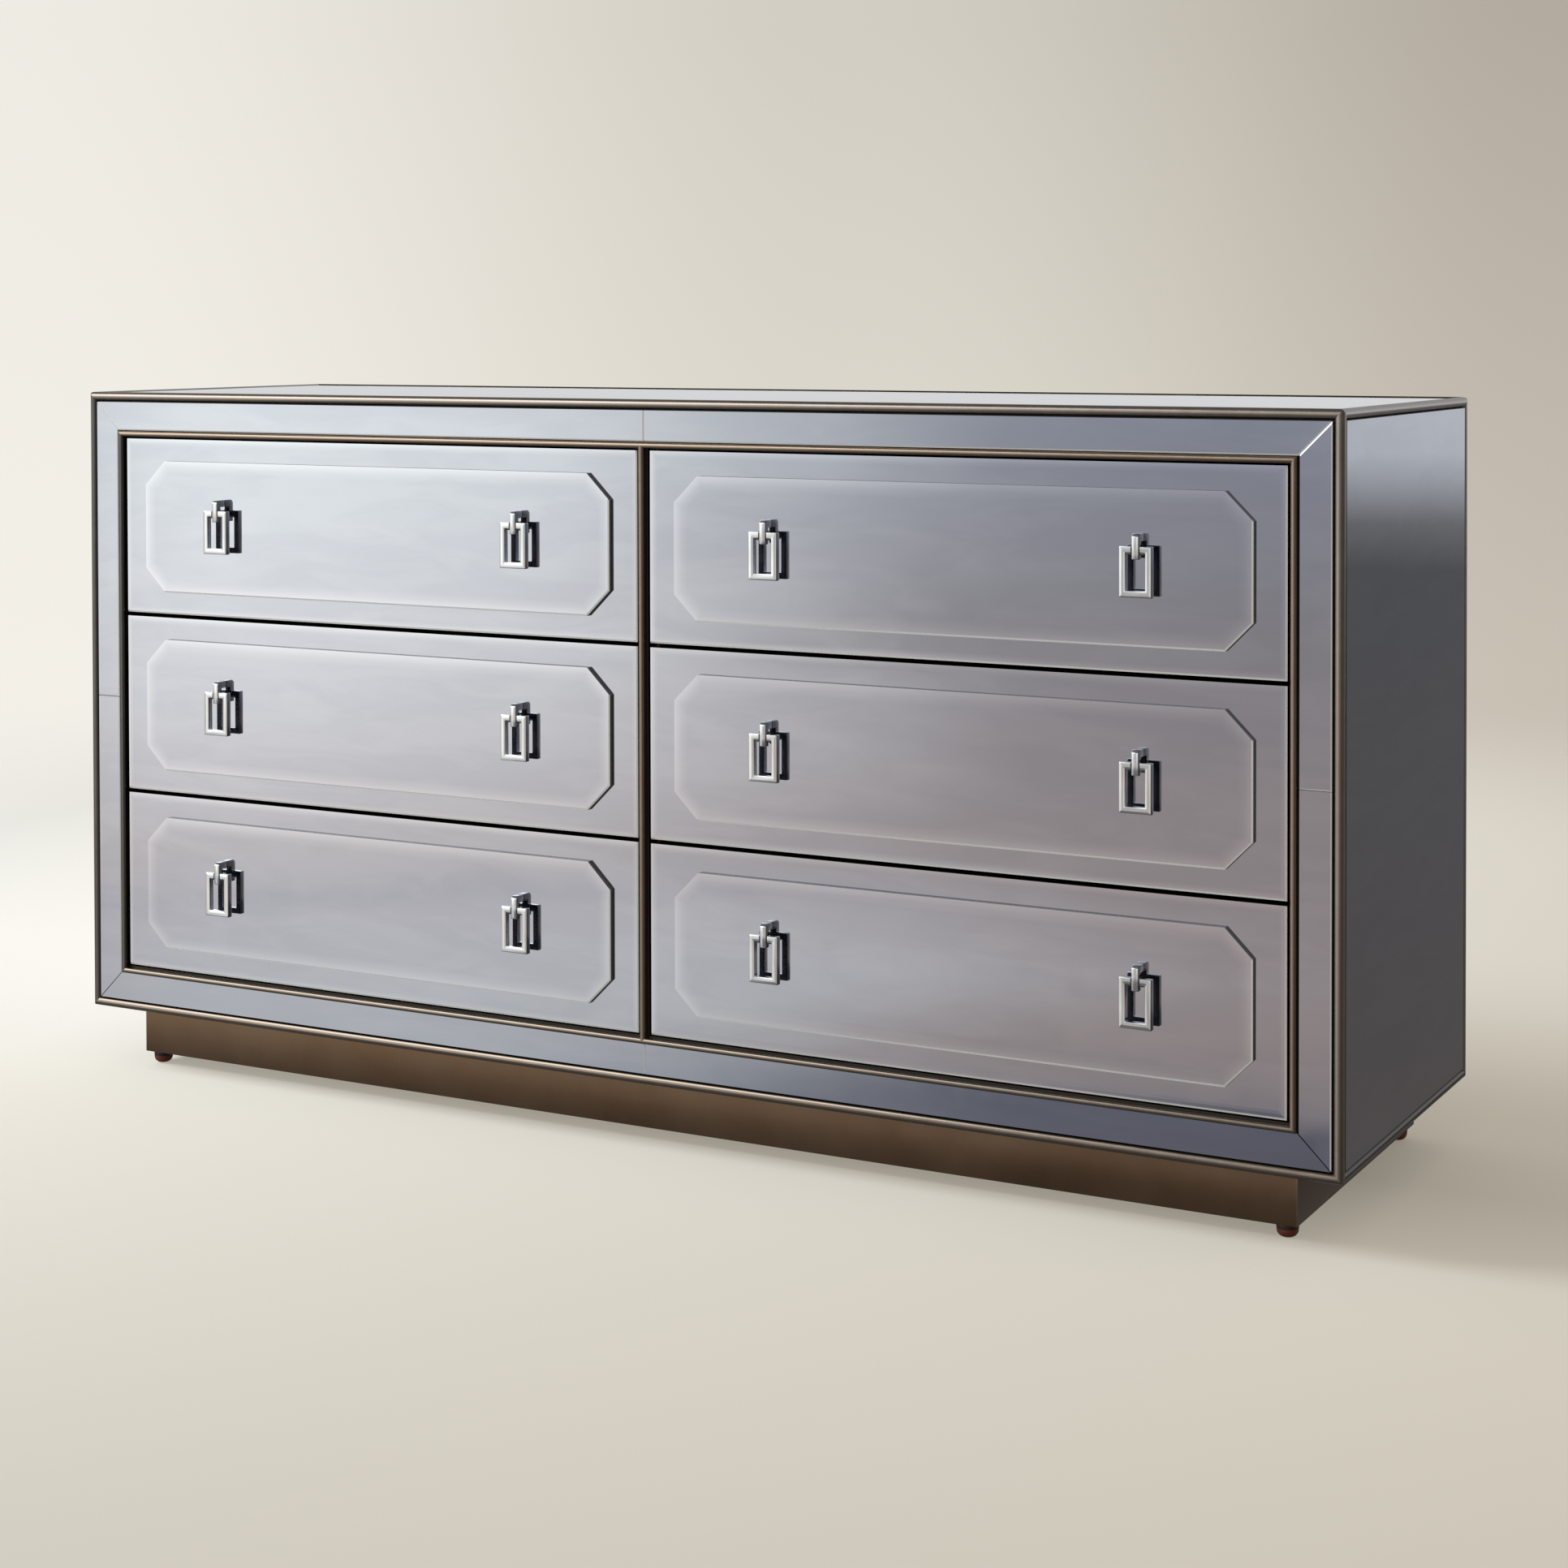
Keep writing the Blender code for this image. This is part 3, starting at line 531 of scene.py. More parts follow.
PAD_TOP, COLLAR_FOOT, COLLAR_TOP, STEM_FOOT, STEM_TOP = 0.0093, 0.0089, 0.0142, 0.0132, 0.0342
PAD_RADIUS, PAD_ROUND, COLLAR_RADIUS, STEM_RADIUS = 0.0112, 0.0072, 0.0115, 0.003
for node in ("foot_front_left", "foot_front_right", "foot_back_left", "foot_back_right"):
    low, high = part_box(node)
    x, y = (low.x + high.x) / 2, (low.y + high.y) / 2
    pad = round_bar(f"{node}_pad", (x, y, 0), (x, y, PAD_TOP), PAD_RADIUS, 40)
    plane_off(pad, PAD_ROUND, 7, lies_at(Z, 0))
    collar = round_bar(
        f"{node}_collar", (x, y, COLLAR_FOOT), (x, y, COLLAR_TOP), COLLAR_RADIUS, 40
    )
    plane_off(collar, 0.0005, 2, runs_across(Z))
    stem = round_bar(f"{node}_stem", (x, y, STEM_FOOT), (x, y, STEM_TOP), STEM_RADIUS, 20)
    for piece, finish in ((pad, foot_pad_finish), (collar, foot_collar_finish), (stem, zinc)):
        smooth(piece)
        paint(piece, finish)
        fit(piece, "case", "foot_brown", node)

# ------------------------------------------------------------------ mirrors on the case
# Smoky grey silvered glass, 4 mm thick, is glued to the top and the two sides. Eight strips
# with ground edges make the border on the front, mitred at its corners and butted midway.

# Handling marks: slow clouds, slanting streaks and smudges
handling, ins, outs = new_group(
    "handling_marks",
    {"Vector": "Vector", "Size": "Float"},
    {"Cloud": "Float", "Streak": "Float", "Smudge": "Float"},
)
slanted = laid(handling, ins["Vector"], (2.0, 2.0, 9.0), 38)
streak = noise(handling, 3.2, 5.0, slanted, Roughness=0.55, Distortion=0.8)
smudge = noise(handling, 28.0, 5.0, ins["Vector"])
feed(handling, outs["Cloud"], noise(handling, ins["Size"], 3.0, ins["Vector"]))
feed(handling, outs["Streak"], spread(handling, streak, 0.42, 0.62))
feed(handling, outs["Smudge"], spread(handling, smudge, 0.45, 0.75))

SILVER, SILVER_STREAK = (0.505, 0.525, 0.600), (0.475, 0.495, 0.570)
# The bevels of the drawer mirrors are painted a paler tone than the face: a painted reflection
BEVEL_PAINTED_SHEEN, WAVE = (0.640, 0.655, 0.730), 0.00012


def silvered(name, painted_sheen=None):
    """Silvered glass: a faint marbling in its tone, and a slow wave in what it reflects. Given a
    second colour, the tone pales towards it where the bevel attribute is high: a painted reflection
    on the bevel.
    """
    finish, tree, shader = new_finish(name, metallic=1.0)
    marks = use_group(tree, handling, vector=own_place(tree), size=3.0)
    tone = blend_colours(tree, marks["Streak"], SILVER_STREAK, SILVER)
    if painted_sheen:
        bevel = put(tree, "Attribute", attribute_name="bevel").outputs["Fac"]
        tone = blend_colours(tree, bevel, tone, painted_sheen)
    feed(tree, shader["Base Color"], tone)
    feed(tree, shader["Roughness"], spread(tree, marks["Smudge"], 0.0, 1.0, 0.02, 0.075))
    raise_surface(tree, shader, marks["Cloud"], WAVE)
    return finish


silver = silvered("smoky_silvering")
sheen_painted_silver = silvered("bevelled_silvering_painted_sheen", BEVEL_PAINTED_SHEEN)
# The ground edge of the glass: dark where one looks into the sheet, with a satin surface
ground_edge = mottled(
    "ground_glass_edge",
    1080.0,
    (0.006, 0.007, 0.008),
    (0.020, 0.023, 0.025),
    0.00002,
    roughness=0.42,
    specular=0.2,
)
# The narrow arris where face and edge meet: finely ground and near white, which is partly the ground
# glass and partly a painted highlight for the bright line that a polished arris shows
arris_glass_and_highlight = mottled("ground_arris_and_highlight", 260.0, (0.84, 0.91, 1.0), (0.89, 0.95, 1.0), roughness=0.34)
FACE, EDGE, ARRIS = 0, 1, 2
FACE_TURN, ARRIS_TURN = 0.99, 0.2


def lay_glass_finishes(piece, out, face=silver, edge=ground_edge, arris=arris_glass_and_highlight):
    """Finishes by how each face turns: the face of the glass, its arris, its edges and back."""
    paint(piece, face, edge, arris)
    for side in piece.data.polygons:
        turned = side.normal.dot(out)
        if turned > FACE_TURN:
            side.material_index = FACE
        elif turned > ARRIS_TURN:
            # Arrises that look right or down take the pale arris finish and the others keep the face
            # finish: a painted highlight by which way each faces
            side.material_index = ARRIS if side.normal.x > 0.1 or side.normal.z < -0.1 else FACE
        else:
            side.material_index = EDGE


for node, out in (("top_mirror", Z), ("side_mirror_left", -X), ("side_mirror_right", X)):
    low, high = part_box(node)
    sheet = block(f"{node}_glass", low, high)
    plane_off(sheet, 0.0008, 1, lies_at(out, max(low.dot(out), high.dot(out))))
    lay_glass_finishes(sheet, out, arris=ground_edge)
    fit(sheet, "case", "smoky_mirror", node)

STRIP_ARRIS, ARRIS_DEPTH = 0.0014, 0.0005


def outward(a, b, middle):
    """The way in which a front edge of a sheet looks, away from the sheet's middle."""
    across = (b - a).cross(Y).normalized()
    return across if across.dot(a + b - 2 * middle) > 0 else -across


def grind_arris(sheet, front, width, wanted):
    """Grinds a flat arris on wanted edges of the front plane y = front, given how each looks."""
    points = [vertex.co for vertex in sheet.data.vertices]
    middle = sum(points, Vector()) / len(points)
    plane_off(
        sheet, width, 1, lies_at(Y, front), lambda a, b: wanted(a, b, outward(a, b, middle))
    )
    for vertex in sheet.data.vertices:
        if abs(vertex.co.y - front - width) < TOUCH:
            vertex.co.y = front + ARRIS_DEPTH


def right_or_down(out):
    return out.x > 0.3 or out.z < -0.9


GROOVE, STRIP_HEIGHT, STRIP_WIDTH = 0.0010, 0.0344, 0.0330
SPLIT_X, SPLIT_Z, SPLIT_GAP = 0.0016, 0.460, 0.0004
# The mitres are tight at the top and stand a little open at the bottom
MITRE_GAP = {1: 0.0001, -1: 0.0007}
strip_low, strip_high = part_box("front_mirror_border")
strip_low += Vector((GROOVE, 0, GROOVE))
strip_high -= Vector((GROOVE, 0, GROOVE))


def strip_edge_shines(a, b, out):
    """The upper mitres, and the edges that look right or down, but for the foot of the border."""
    if abs(out.x) > 0.1 and abs(out.z) > 0.1:
        return max(a.z, b.z) > SPLIT_Z
    return right_or_down(out) and max(a.z, b.z) > strip_low.z + STRIP_HEIGHT


def border_strip(name, along, out, width, split, mitre_gap):
    """A strip on the side that looks out, which runs along from the split to its corner."""
    strip = block(name, *margin(strip_low, strip_high, out, width))
    mitre(strip, strip_low, strip_high, along, out, mitre_gap, (1,))
    saw(strip, split + along * SPLIT_GAP / 2, -along)
    grind_arris(strip, strip_low.y, STRIP_ARRIS, strip_edge_shines)
    lay_glass_finishes(strip, -Y)
    fit(strip, "case", "smoky_mirror", "front_mirror_border")
    return strip


LEAN = Matrix.Rotation(math.radians(0.6), 4, "X")
strip_foot = Matrix.Translation((0, strip_low.y, strip_low.z))
for sz, level in ((1, "top"), (-1, "bottom")):
    for sx, half in ((-1, "left"), (1, "right")):
        strip = border_strip(
            f"border_{level}_{half}", X * sx, Z * sz, STRIP_HEIGHT, X * SPLIT_X, MITRE_GAP[sz]
        )
        if level == "bottom":
            # The bottom pair was pressed down along its lower edge, so it looks a little down
            strip.data.transform(strip_foot @ LEAN @ strip_foot.inverted())
for sx, side in ((-1, "left"), (1, "right")):
    for sz, half in ((1, "upper"), (-1, "lower")):
        border_strip(
            f"border_{side}_{half}", Z * sz, X * sx, STRIP_WIDTH, Z * SPLIT_Z, MITRE_GAP[sz]
        )

# ------------------------------------------------------------------ edge moulding
# Round wooden bead covered with aged bronze leaf runs along all twelve edges of the case,
# one stick for each edge, three of them mitred together at each corner.


def leaf_finish(name, dull, bright, roughness, metallic=0.94, **look):
    return rubbed_finish(
        name, dull, bright, roughness, 50.0, 0.4, 0.000004, metallic=metallic, **look
    )


bead_leaf = leaf_finish("bead_leaf", (0.345, 0.300, 0.265), (0.43, 0.385, 0.345), (0.18, 0.24))
# A darker copy of the leaf for the bottom sticks and the foot of the opening bead: painted shade
shaded_low_leaf = leaf_finish("shaded_low_bead_leaf", (0.29, 0.24, 0.20), (0.37, 0.32, 0.27), (0.13, 0.18))
# A darker copy for the left uprights and the left length of the opening bead: painted shade
shaded_left_leaf = leaf_finish("shaded_left_bead_leaf", (0.15, 0.145, 0.135), (0.20, 0.195, 0.18), (0.09, 0.13))
# A darker copy for the sticks under the two sides: painted shade
shaded_under_leaf = leaf_finish(
    "shaded_under_bead_leaf", (0.080, 0.076, 0.072), (0.115, 0.11, 0.102), (0.24, 0.30)
)
# A paler copy for the sticks along the top of the two sides: painted highlight
lit_pale_leaf = leaf_finish("lit_pale_bead_leaf", (0.52, 0.50, 0.49), (0.60, 0.58, 0.57), (0.30, 0.36))
# A near-black copy that hardly shines, for the back top stick: painted shade
shaded_dark_leaf = leaf_finish(
    "shaded_dark_bead_leaf", (0.022, 0.016, 0.012), (0.038, 0.028, 0.022), (0.75, 0.85), 0.0, specular=0.1
)
BEAD, BEAD_ROUND, BEAD_MITRE_GAP = 0.011, 0.00548, 0.00004
bead_low, bead_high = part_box("edge_moulding")


def bead_stick(name, along, sides, leaf):
    """A stick on the edge between two sides of the case, square only at its inner edge."""
    out = sides[0] + sides[1]
    low, high = margin(bead_low, bead_high, out, BEAD)
    inner = corner_of(low, high, -out)
    stick = block(name, low, high)
    plane_off(
        stick, BEAD_ROUND, 8, runs_along(along), lambda a, b: (a - inner).dot(out) > BEAD / 2
    )
    for end in (-1, 1):
        for side in sides:
            mitre(stick, bead_low, bead_high, along, side, BEAD_MITRE_GAP, (end,))
    smooth(stick, 40)
    paint(stick, leaf)
    fit(stick, "case", "bronze_bead", "edge_moulding")


for y_side, depth, upper_leaf in ((-Y, "front", bead_leaf), (Y, "back", shaded_dark_leaf)):
    for z_side, level, leaf in ((-Z, "bottom", shaded_low_leaf), (Z, "top", upper_leaf)):
        bead_stick(f"bead_{depth}_{level}", X, (y_side, z_side), leaf)
for x_side, side, upright_leaf in ((-X, "left", shaded_left_leaf), (X, "right", bead_leaf)):
    for z_side, level, leaf in ((-Z, "bottom", shaded_under_leaf), (Z, "top", lit_pale_leaf)):
        bead_stick(f"bead_{side}_{level}", Y, (x_side, z_side), leaf)
    for y_side, depth in ((-Y, "front"), (Y, "back")):
        bead_stick(f"bead_{side}_{depth}", Z, (x_side, y_side), upright_leaf)

# ------------------------------------------------------------------ opening bead
# A narrower half-round bead in the same leaf frames the drawer opening, with one upright
# length between the two columns of drawers.

warm_leaf = leaf_finish("warm_bead_leaf", (0.350, 0.272, 0.212), (0.43, 0.345, 0.275), (0.20, 0.26))
QUIRK, FOOT_QUIRK, LIP, LIP_ROUND, CENTRE_X = 0.0021, 0.0003, 0.0069, 0.0033, -0.0014
lip_low, lip_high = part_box("opening_bead")
lip_low += Vector((QUIRK, 0, FOOT_QUIRK))
lip_high -= Vector((QUIRK, 0, QUIRK))


def opening_stick(name, low, high, along, leaf, out=None):
    """A length with a rounded front; one that looks out to a side is mitred at its ends."""
    lip = block(f"opening_bead_{name}", low, high)
    plane_off(lip, LIP_ROUND, 7, runs_along(along), lies_at(Y, lip_low.y))
    if out is not None:
        mitre(lip, lip_low, lip_high, along, out, BEAD_MITRE_GAP)
    smooth(lip, 40)
    paint(lip, leaf)
    fit(lip, "case", "bronze_bead", "opening_bead")


for name, along, out, leaf in (
    ("top", X, Z, warm_leaf),
    ("bottom", X, -Z, shaded_low_leaf),
    ("left", Z, -X, shaded_left_leaf),
    ("right", Z, X, warm_leaf),
):
    opening_stick(name, *margin(lip_low, lip_high, out, LIP), along, leaf, out)
opening_stick(
    "centre",
    (CENTRE_X - LIP / 2, lip_low.y, lip_low.z + LIP_ROUND),
    (CENTRE_X + LIP / 2, lip_high.y, lip_high.z - LIP_ROUND),
    Z,
    warm_leaf,
)

# ------------------------------------------------------------------ drawer boxes
# Each drawer is a plain open box: a front board in the near-black frame paint, which is
# partly painted shade in the gaps, two sides and a back in pale wood with rounded top edges,
# and a thin plywood bottom let in above the lower edge.

DRAWERS = {
    f"drawer_{row}_{column}": (x, z)
    for column, x in (("left", -0.375), ("right", 0.375))
    for row, z in (("top", 0.672835), ("middle", 0.4545), ("bottom", 0.236165))
}
CASE_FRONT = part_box("edge_moulding")[0].y
HALF_W, HALF_H = 0.3661, 0.106165
BOARD_FRONT, BOARD_BACK, BOX_END = 0.0073, 0.0253, 0.4253
RUNNER_SPACE, BOX_LIFT, BOX_HEIGHT = 0.013, 0.012, 0.16503
WALL, SEAM, FLOOR_FOOT, FLOOR_HEAD = 0.012, 0.0001, 0.008, 0.014
SIDE_OUT, SIDE_FOOT = HALF_W - RUNNER_SPACE, BOX_LIFT - HALF_H
SIDE_IN, SIDE_HEAD = SIDE_OUT - WALL, SIDE_FOOT + BOX_HEIGHT
STUD_X, STUD_Z, STUD_HOLE, HEAD_ROUND = 0.214, 0.03145, 0.003, 0.0022
DRAWER_PALE, DRAWER_DARK = (0.60, 0.45, 0.30), (0.40, 0.27, 0.16)
pale_across = wood_finish("drawer_wood_across", 0, DRAWER_PALE, DRAWER_DARK, 9.0)
pale_deep = wood_finish("drawer_wood_deep", 1, DRAWER_PALE, DRAWER_DARK, 9.0)
ply = wood_finish("drawer_plywood", 0, (0.66, 0.52, 0.37), (0.50, 0.37, 0.24), 6.0)


def drill_for_pulls(piece, start, end):
    """Drills the holes for the two pulls from y = start to y = end."""
    for x in (-STUD_X, STUD_X):
        cut_away(piece, round_bar("drill", (x, start, STUD_Z), (x, end, STUD_Z), STUD_HOLE))


front_board = block("front_board", (-HALF_W, BOARD_FRONT, -HALF_H), (HALF_W, BOARD_BACK, HALF_H))
plane_off(front_board, 0.0007, 2, lies_at(Y, BOARD_BACK))
drill_for_pulls(front_board, 0, 0.03)
box_side = block(
    "box_side", (-SIDE_OUT, BOARD_BACK + SEAM, SIDE_FOOT), (-SIDE_IN, BOX_END, SIDE_HEAD)
)
plane_off(box_side, HEAD_ROUND, 4, lies_at(Z, SIDE_HEAD), runs_along(Y))
box_end = block(
    "box_end", (SEAM - SIDE_IN, BOX_END - WALL, SIDE_FOOT), (SIDE_IN - SEAM, BOX_END, SIDE_HEAD)
)
plane_off(box_end, HEAD_ROUND, 4, lies_at(Z, SIDE_HEAD), runs_along(X))
box_floor = block(
    "box_floor",
    (SEAM - SIDE_IN, BOARD_BACK + SEAM, SIDE_FOOT + FLOOR_FOOT),
    (SIDE_IN - SEAM, BOX_END - WALL - SEAM, SIDE_FOOT + FLOOR_HEAD),
)
plane_off(box_floor, 0.0004, 1)
for piece, finish in ((box_side, pale_deep), (box_end, pale_across), (box_floor, ply)):
    smooth(piece)
    paint(piece, finish)
paint(front_board, frame_paint_and_gap_shade)
for drawer, (x, z) in DRAWERS.items():
    place = Vector((x, CASE_FRONT, z))
    for master, part, extra in (
        (front_board, "front_board", 0),
        (box_side, "box_side_left", 0),
        (box_side, "box_side_right", SIDE_OUT + SIDE_IN),
        (box_end, "box_end", 0),
        (box_floor, "box_floor", 0),
    ):
        piece = copy_of(master, f"{drawer}_{part}", place + X * extra)
        fit(piece, drawer, "drawer_wood", f"{drawer}_box")
throw_away(front_board, box_side, box_end, box_floor)

# ------------------------------------------------------------------ drawer mirrors
# A bevelled sheet of the same smoky mirror covers each drawer front, and a thicker sheet
# with clipped corners and a wide bevel is glued on its middle.

# The thick edge of the raised sheet is polished clearer than the thin ground ones
clear_edge = mottled(
    "clear_glass_edge", 190.0, (0.085, 0.090, 0.100), (0.15, 0.155, 0.17), roughness=0.30
)
# The bevels are so shallow that the reflection hardly breaks at them; the paler band they show is
# painted into the silvering
BEVEL_DROP, SHEET_ARRIS = 0.00003, 0.0020
RAISED_INSET_X, RAISED_INSET_Z = 0.033, 0.026


def bevelled_sheet(name, half_w, half_h, clip, face, back, bevel, crease, edge):
    """Glass with a bevel that meets its face in a soft crease, drilled for the two pulls."""
    sheet = block(name, (-half_w, face + BEVEL_DROP, -half_h), (half_w, back, half_h))
    if clip:
        for sx in (-1, 1):
            for sz in (-1, 1):
                middle = (sx * (half_w - clip / 2), 0, sz * (half_h - clip / 2))
                saw(sheet, middle, X * sx + Z * sz)
    choose(sheet, "FACE", lambda centre, normal: normal.y < -0.9)
    bpy.ops.mesh.inset(thickness=bevel, depth=BEVEL_DROP, use_even_offset=True)
    put_down()
    grind_arris(
        sheet,
        face + BEVEL_DROP,
        SHEET_ARRIS,
        lambda a, b, out: right_or_down(out) and out.z < 0.5,
    )
    plane_off(sheet, crease, 6, lies_at(Y, face))
    drill_for_pulls(sheet, face - 0.002, back + 0.002)
    lay_glass_finishes(sheet, -Y, sheen_painted_silver, edge)
    # How far out on the bevel each point lies, which pales the silvering there as a painted
    # reflection
    sheen_weight = sheet.data.attributes.new("bevel", "FLOAT", "POINT")
    for vertex in sheet.data.vertices:
        sheen_weight.data[vertex.index].value = min((vertex.co.y - face) / BEVEL_DROP, 1.0)
    return sheet


base_sheet = bevelled_sheet(
    "base_sheet",
    HALF_W + 0.0005,
    HALF_H + 0.0006,
    clip=0.0,
    face=0.0030,
    back=0.0070,
    bevel=0.0070,
    crease=0.0016,
    edge=ground_edge,
)
raised_sheet = bevelled_sheet(
    "raised_sheet",
    HALF_W - RAISED_INSET_X,
    HALF_H - RAISED_INSET_Z,
    clip=0.0295,
    face=-0.0021,
    back=0.0027,
    bevel=0.0125,
    crease=0.0035,
    edge=clear_edge,
)
for drawer, (x, z) in DRAWERS.items():
    for master, part in ((base_sheet, "base_mirror"), (raised_sheet, "raised_mirror")):
        sheet = copy_of(master, f"{drawer}_{part}_glass", (x, CASE_FRONT, z))
        fit(sheet, drawer, "smoky_mirror", f"{drawer}_{part}")
throw_away(base_sheet, raised_sheet)

# ------------------------------------------------------------------ pulls
# Cast pulls in polished chrome: a squared post bent down into a tab, a screw through the
# drawer front, and an open rectangular bail that swings on a pin through the tab.


def plated(name, metallic, size, clean, smudged, roughness, relief):
    """Plated metal with the marks of handling."""
    finish, tree, shader = new_finish(name, metallic=metallic)
    marks = use_group(tree, handling, vector=own_place(tree), size=size)
    feed(tree, shader["Base Color"], blend_colours(tree, marks["Smudge"], clean, smudged))
    feed(tree, shader["Roughness"], spread(tree, marks["Cloud"], 0.3, 0.7, *roughness))
    raise_surface(tree, shader, marks["Cloud"], relief)
    return finish


chrome = plated(
    "polished_chrome_plate",
    1.0,
    40.0,
    (0.78, 0.805, 0.83),
    (0.66, 0.68, 0.70),
    (0.08, 0.17),
    0.00002,
)
# The faces of the castings that look back at the drawer are darker and rougher
cast_back = plated(
    "cast_back", 0.85, 60.0, (0.10, 0.10, 0.105), (0.17, 0.17, 0.17), (0.38, 0.52), 0.00006
)


def plate(piece):
    """Polished chrome all over but on the faces that look back at the drawer."""
    smooth(piece, 40)
    paint(piece, chrome, cast_back)
    for face in piece.data.polygons:
        face.material_index = 1 if face.normal.y > 0.9 else 0


POST_HALF, POST_BACK, POST_FACE, POST_ROUND = 0.00385, -0.0024, -0.0174, 0.003
POST_TOP, ARM_FOOT, TAB_BACK, TAB_FOOT = 0.0356, 0.0273, -0.0100, 0.0094
PIN_Y, PIN_Z, PIN_RADIUS, BORE_RADIUS = -0.0137, 0.0172, 0.0015, 0.0018
CAST_ROUND = 0.0008
post = block("post", (-POST_HALF, POST_FACE, ARM_FOOT), (POST_HALF, POST_BACK, POST_TOP))
choose(post, "FACE")
bpy.ops.mesh.bisect(plane_co=(0, TAB_BACK, 0), plane_no=(0, 1, 0))
put_down()
choose(post, "FACE", lambda centre, normal: normal.z < -0.9 and centre.y < TAB_BACK)
bpy.ops.mesh.extrude_region_move(TRANSFORM_OT_translate={"value": (0, 0, TAB_FOOT - ARM_FOOT)})
put_down()
plane_off(post, POST_ROUND, 1, lies_at(Y, POST_FACE), lies_at(Z, POST_TOP))
choose(post, "FACE")
bpy.ops.mesh.dissolve_limited(angle_limit=math.radians(1))
put_down()
plane_off(post, CAST_ROUND, 3)
cut_away(post, round_bar("bore", (-0.01, PIN_Y, PIN_Z), (0.01, PIN_Y, PIN_Z), BORE_RADIUS))
plate(post)

PULL_SCREW_RADIUS, PULL_SCREW_HEIGHT, SHANK_RADIUS = 0.005, 0.0022, 0.0025
screw = screw_head("screw", PULL_SCREW_RADIUS, PULL_SCREW_HEIGHT)
screw.data.transform(Matrix.Translation((0, BOARD_BACK + 0.0003, STUD_Z)))
shank = round_bar(
    "shank", (0, POST_BACK - 0.001, STUD_Z), (0, BOARD_BACK + 0.0008, STUD_Z), SHANK_RADIUS
)
paint(shank, zinc)

BAIL_HALF, BAIL_TOP, BAIL_FOOT, BAR = 0.0175, 0.0227, -0.0292, 0.007
NOTCH, NOTCH_FOOT = POST_HALF + 0.0007, PIN_Z - 0.0044
KNUCKLE, KNUCKLE_RADIUS, PIN_END = 0.0036, 0.0034, 0.0018
bail = block(
    "bail", (-BAIL_HALF, PIN_Y - BAR / 2, BAIL_FOOT), (BAIL_HALF, PIN_Y + BAR / 2, BAIL_TOP)
)
choose(bail, "FACE", lambda centre, normal: abs(normal.y) > 0.9)
bpy.ops.mesh.inset(thickness=BAR, depth=0, use_even_offset=True)
bpy.ops.mesh.bridge_edge_loops()
put_down()
plane_off(bail, CAST_ROUND, 3)
notch = block("notch", (-NOTCH, PIN_Y - 0.01, NOTCH_FOOT), (NOTCH, PIN_Y + 0.01, BAIL_TOP + 0.001))
cut_away(bail, notch)
plane_off(bail, 0.0004, 1, runs_across(X), lambda a, b: abs(abs(a.x) - NOTCH) < TOUCH)
plate(bail)
knuckle = round_bar(
    "knuckle", (NOTCH, PIN_Y, PIN_Z), (NOTCH + KNUCKLE, PIN_Y, PIN_Z), KNUCKLE_RADIUS
)
plane_off(knuckle, 0.0005, 2, runs_across(X))
pin = round_bar(
    "pin", (-NOTCH - PIN_END, PIN_Y, PIN_Z), (NOTCH + PIN_END, PIN_Y, PIN_Z), PIN_RADIUS, 20
)
for piece in (knuckle, pin):
    smooth(piece, 40)
    paint(piece, chrome)

for drawer, (x, z) in DRAWERS.items():
    for label, side in (("a", -1), ("b", 1)):
        place = Vector((x + side * STUD_X, CASE_FRONT, z))
        for master, part in ((post, "arm"), (screw, "screw_head"), (shank, "screw_shank")):
            piece = copy_of(master, f"{drawer}_post_{label}_{part}", place)
            fit(piece, drawer, "polished_chrome", f"{drawer}_post_{label}")
        swing = f"{drawer}_bail_{label}"
        for master, part, extra in (
            (bail, "frame", 0),
            (knuckle, "knuckle_right", 0),
            (knuckle, "knuckle_left", -2 * NOTCH - KNUCKLE),
            (pin, "pin", 0),
        ):
            piece = copy_of(master, f"{swing}_{part}", place + X * extra)
            fit(piece, swing, "polished_chrome", swing)
throw_away(post, screw, shank, bail, knuckle, pin)

# ------------------------------------------------------------------ floor and light
# A pale floor that fades out into a pale studio. The world shows a warm wall to the camera
# and, to the mirrors, a room with a bright window wall on the left and a dim right side.


def shaded(tree, colour, factor):
    """A colour made darker or brighter by a factor."""
    node = put(tree, "VectorMath", {0: colour, "Scale": factor}, operation="SCALE")
    return node.outputs["Vector"]


FLOOR_RADIUS, FADE_START, FADE_END = 6.0, 1.7, 4.2
put_down()
bpy.ops.mesh.primitive_circle_add(
    vertices=96, radius=FLOOR_RADIUS, fill_type="NGON", location=(0, 0, 0)
)
floor = named(bpy.context.active_object, "floor")
floor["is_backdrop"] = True
floor.visible_glossy = floor.visible_transmission = False
floor_finish, tree, shader = new_finish("pale_floor", roughness=0.9)
paint(floor, floor_finish)
place = own_place(tree)
across = put(tree, "SeparateXYZ", {0: place}).outputs
# The floor's tone is painted darker to the right, towards the front and far out to the left: painted
# shade
tone = blend_colours(
    tree, spread(tree, across["X"], -2.0, 1.6), (0.87, 0.865, 0.825), (0.63, 0.605, 0.54)
)
front_painted_shade = spread(tree, across["Y"], -2.3, 0.3, 0.71, 1.09)
left_painted_shade = spread(tree, across["X"], -2.1, -0.95, 0.68, 1.0)
tone = shaded(tree, tone, reckon(tree, "MULTIPLY", front_painted_shade, left_painted_shade))
# A share of the tone glows for the camera alone, so the shadow in front stays soft and light
glow_share = spread(tree, across["Y"], -0.40, 0.05, 0.60, 0.28)
lit = shaded(tree, tone, reckon(tree, "SUBTRACT", 1.0, glow_share))
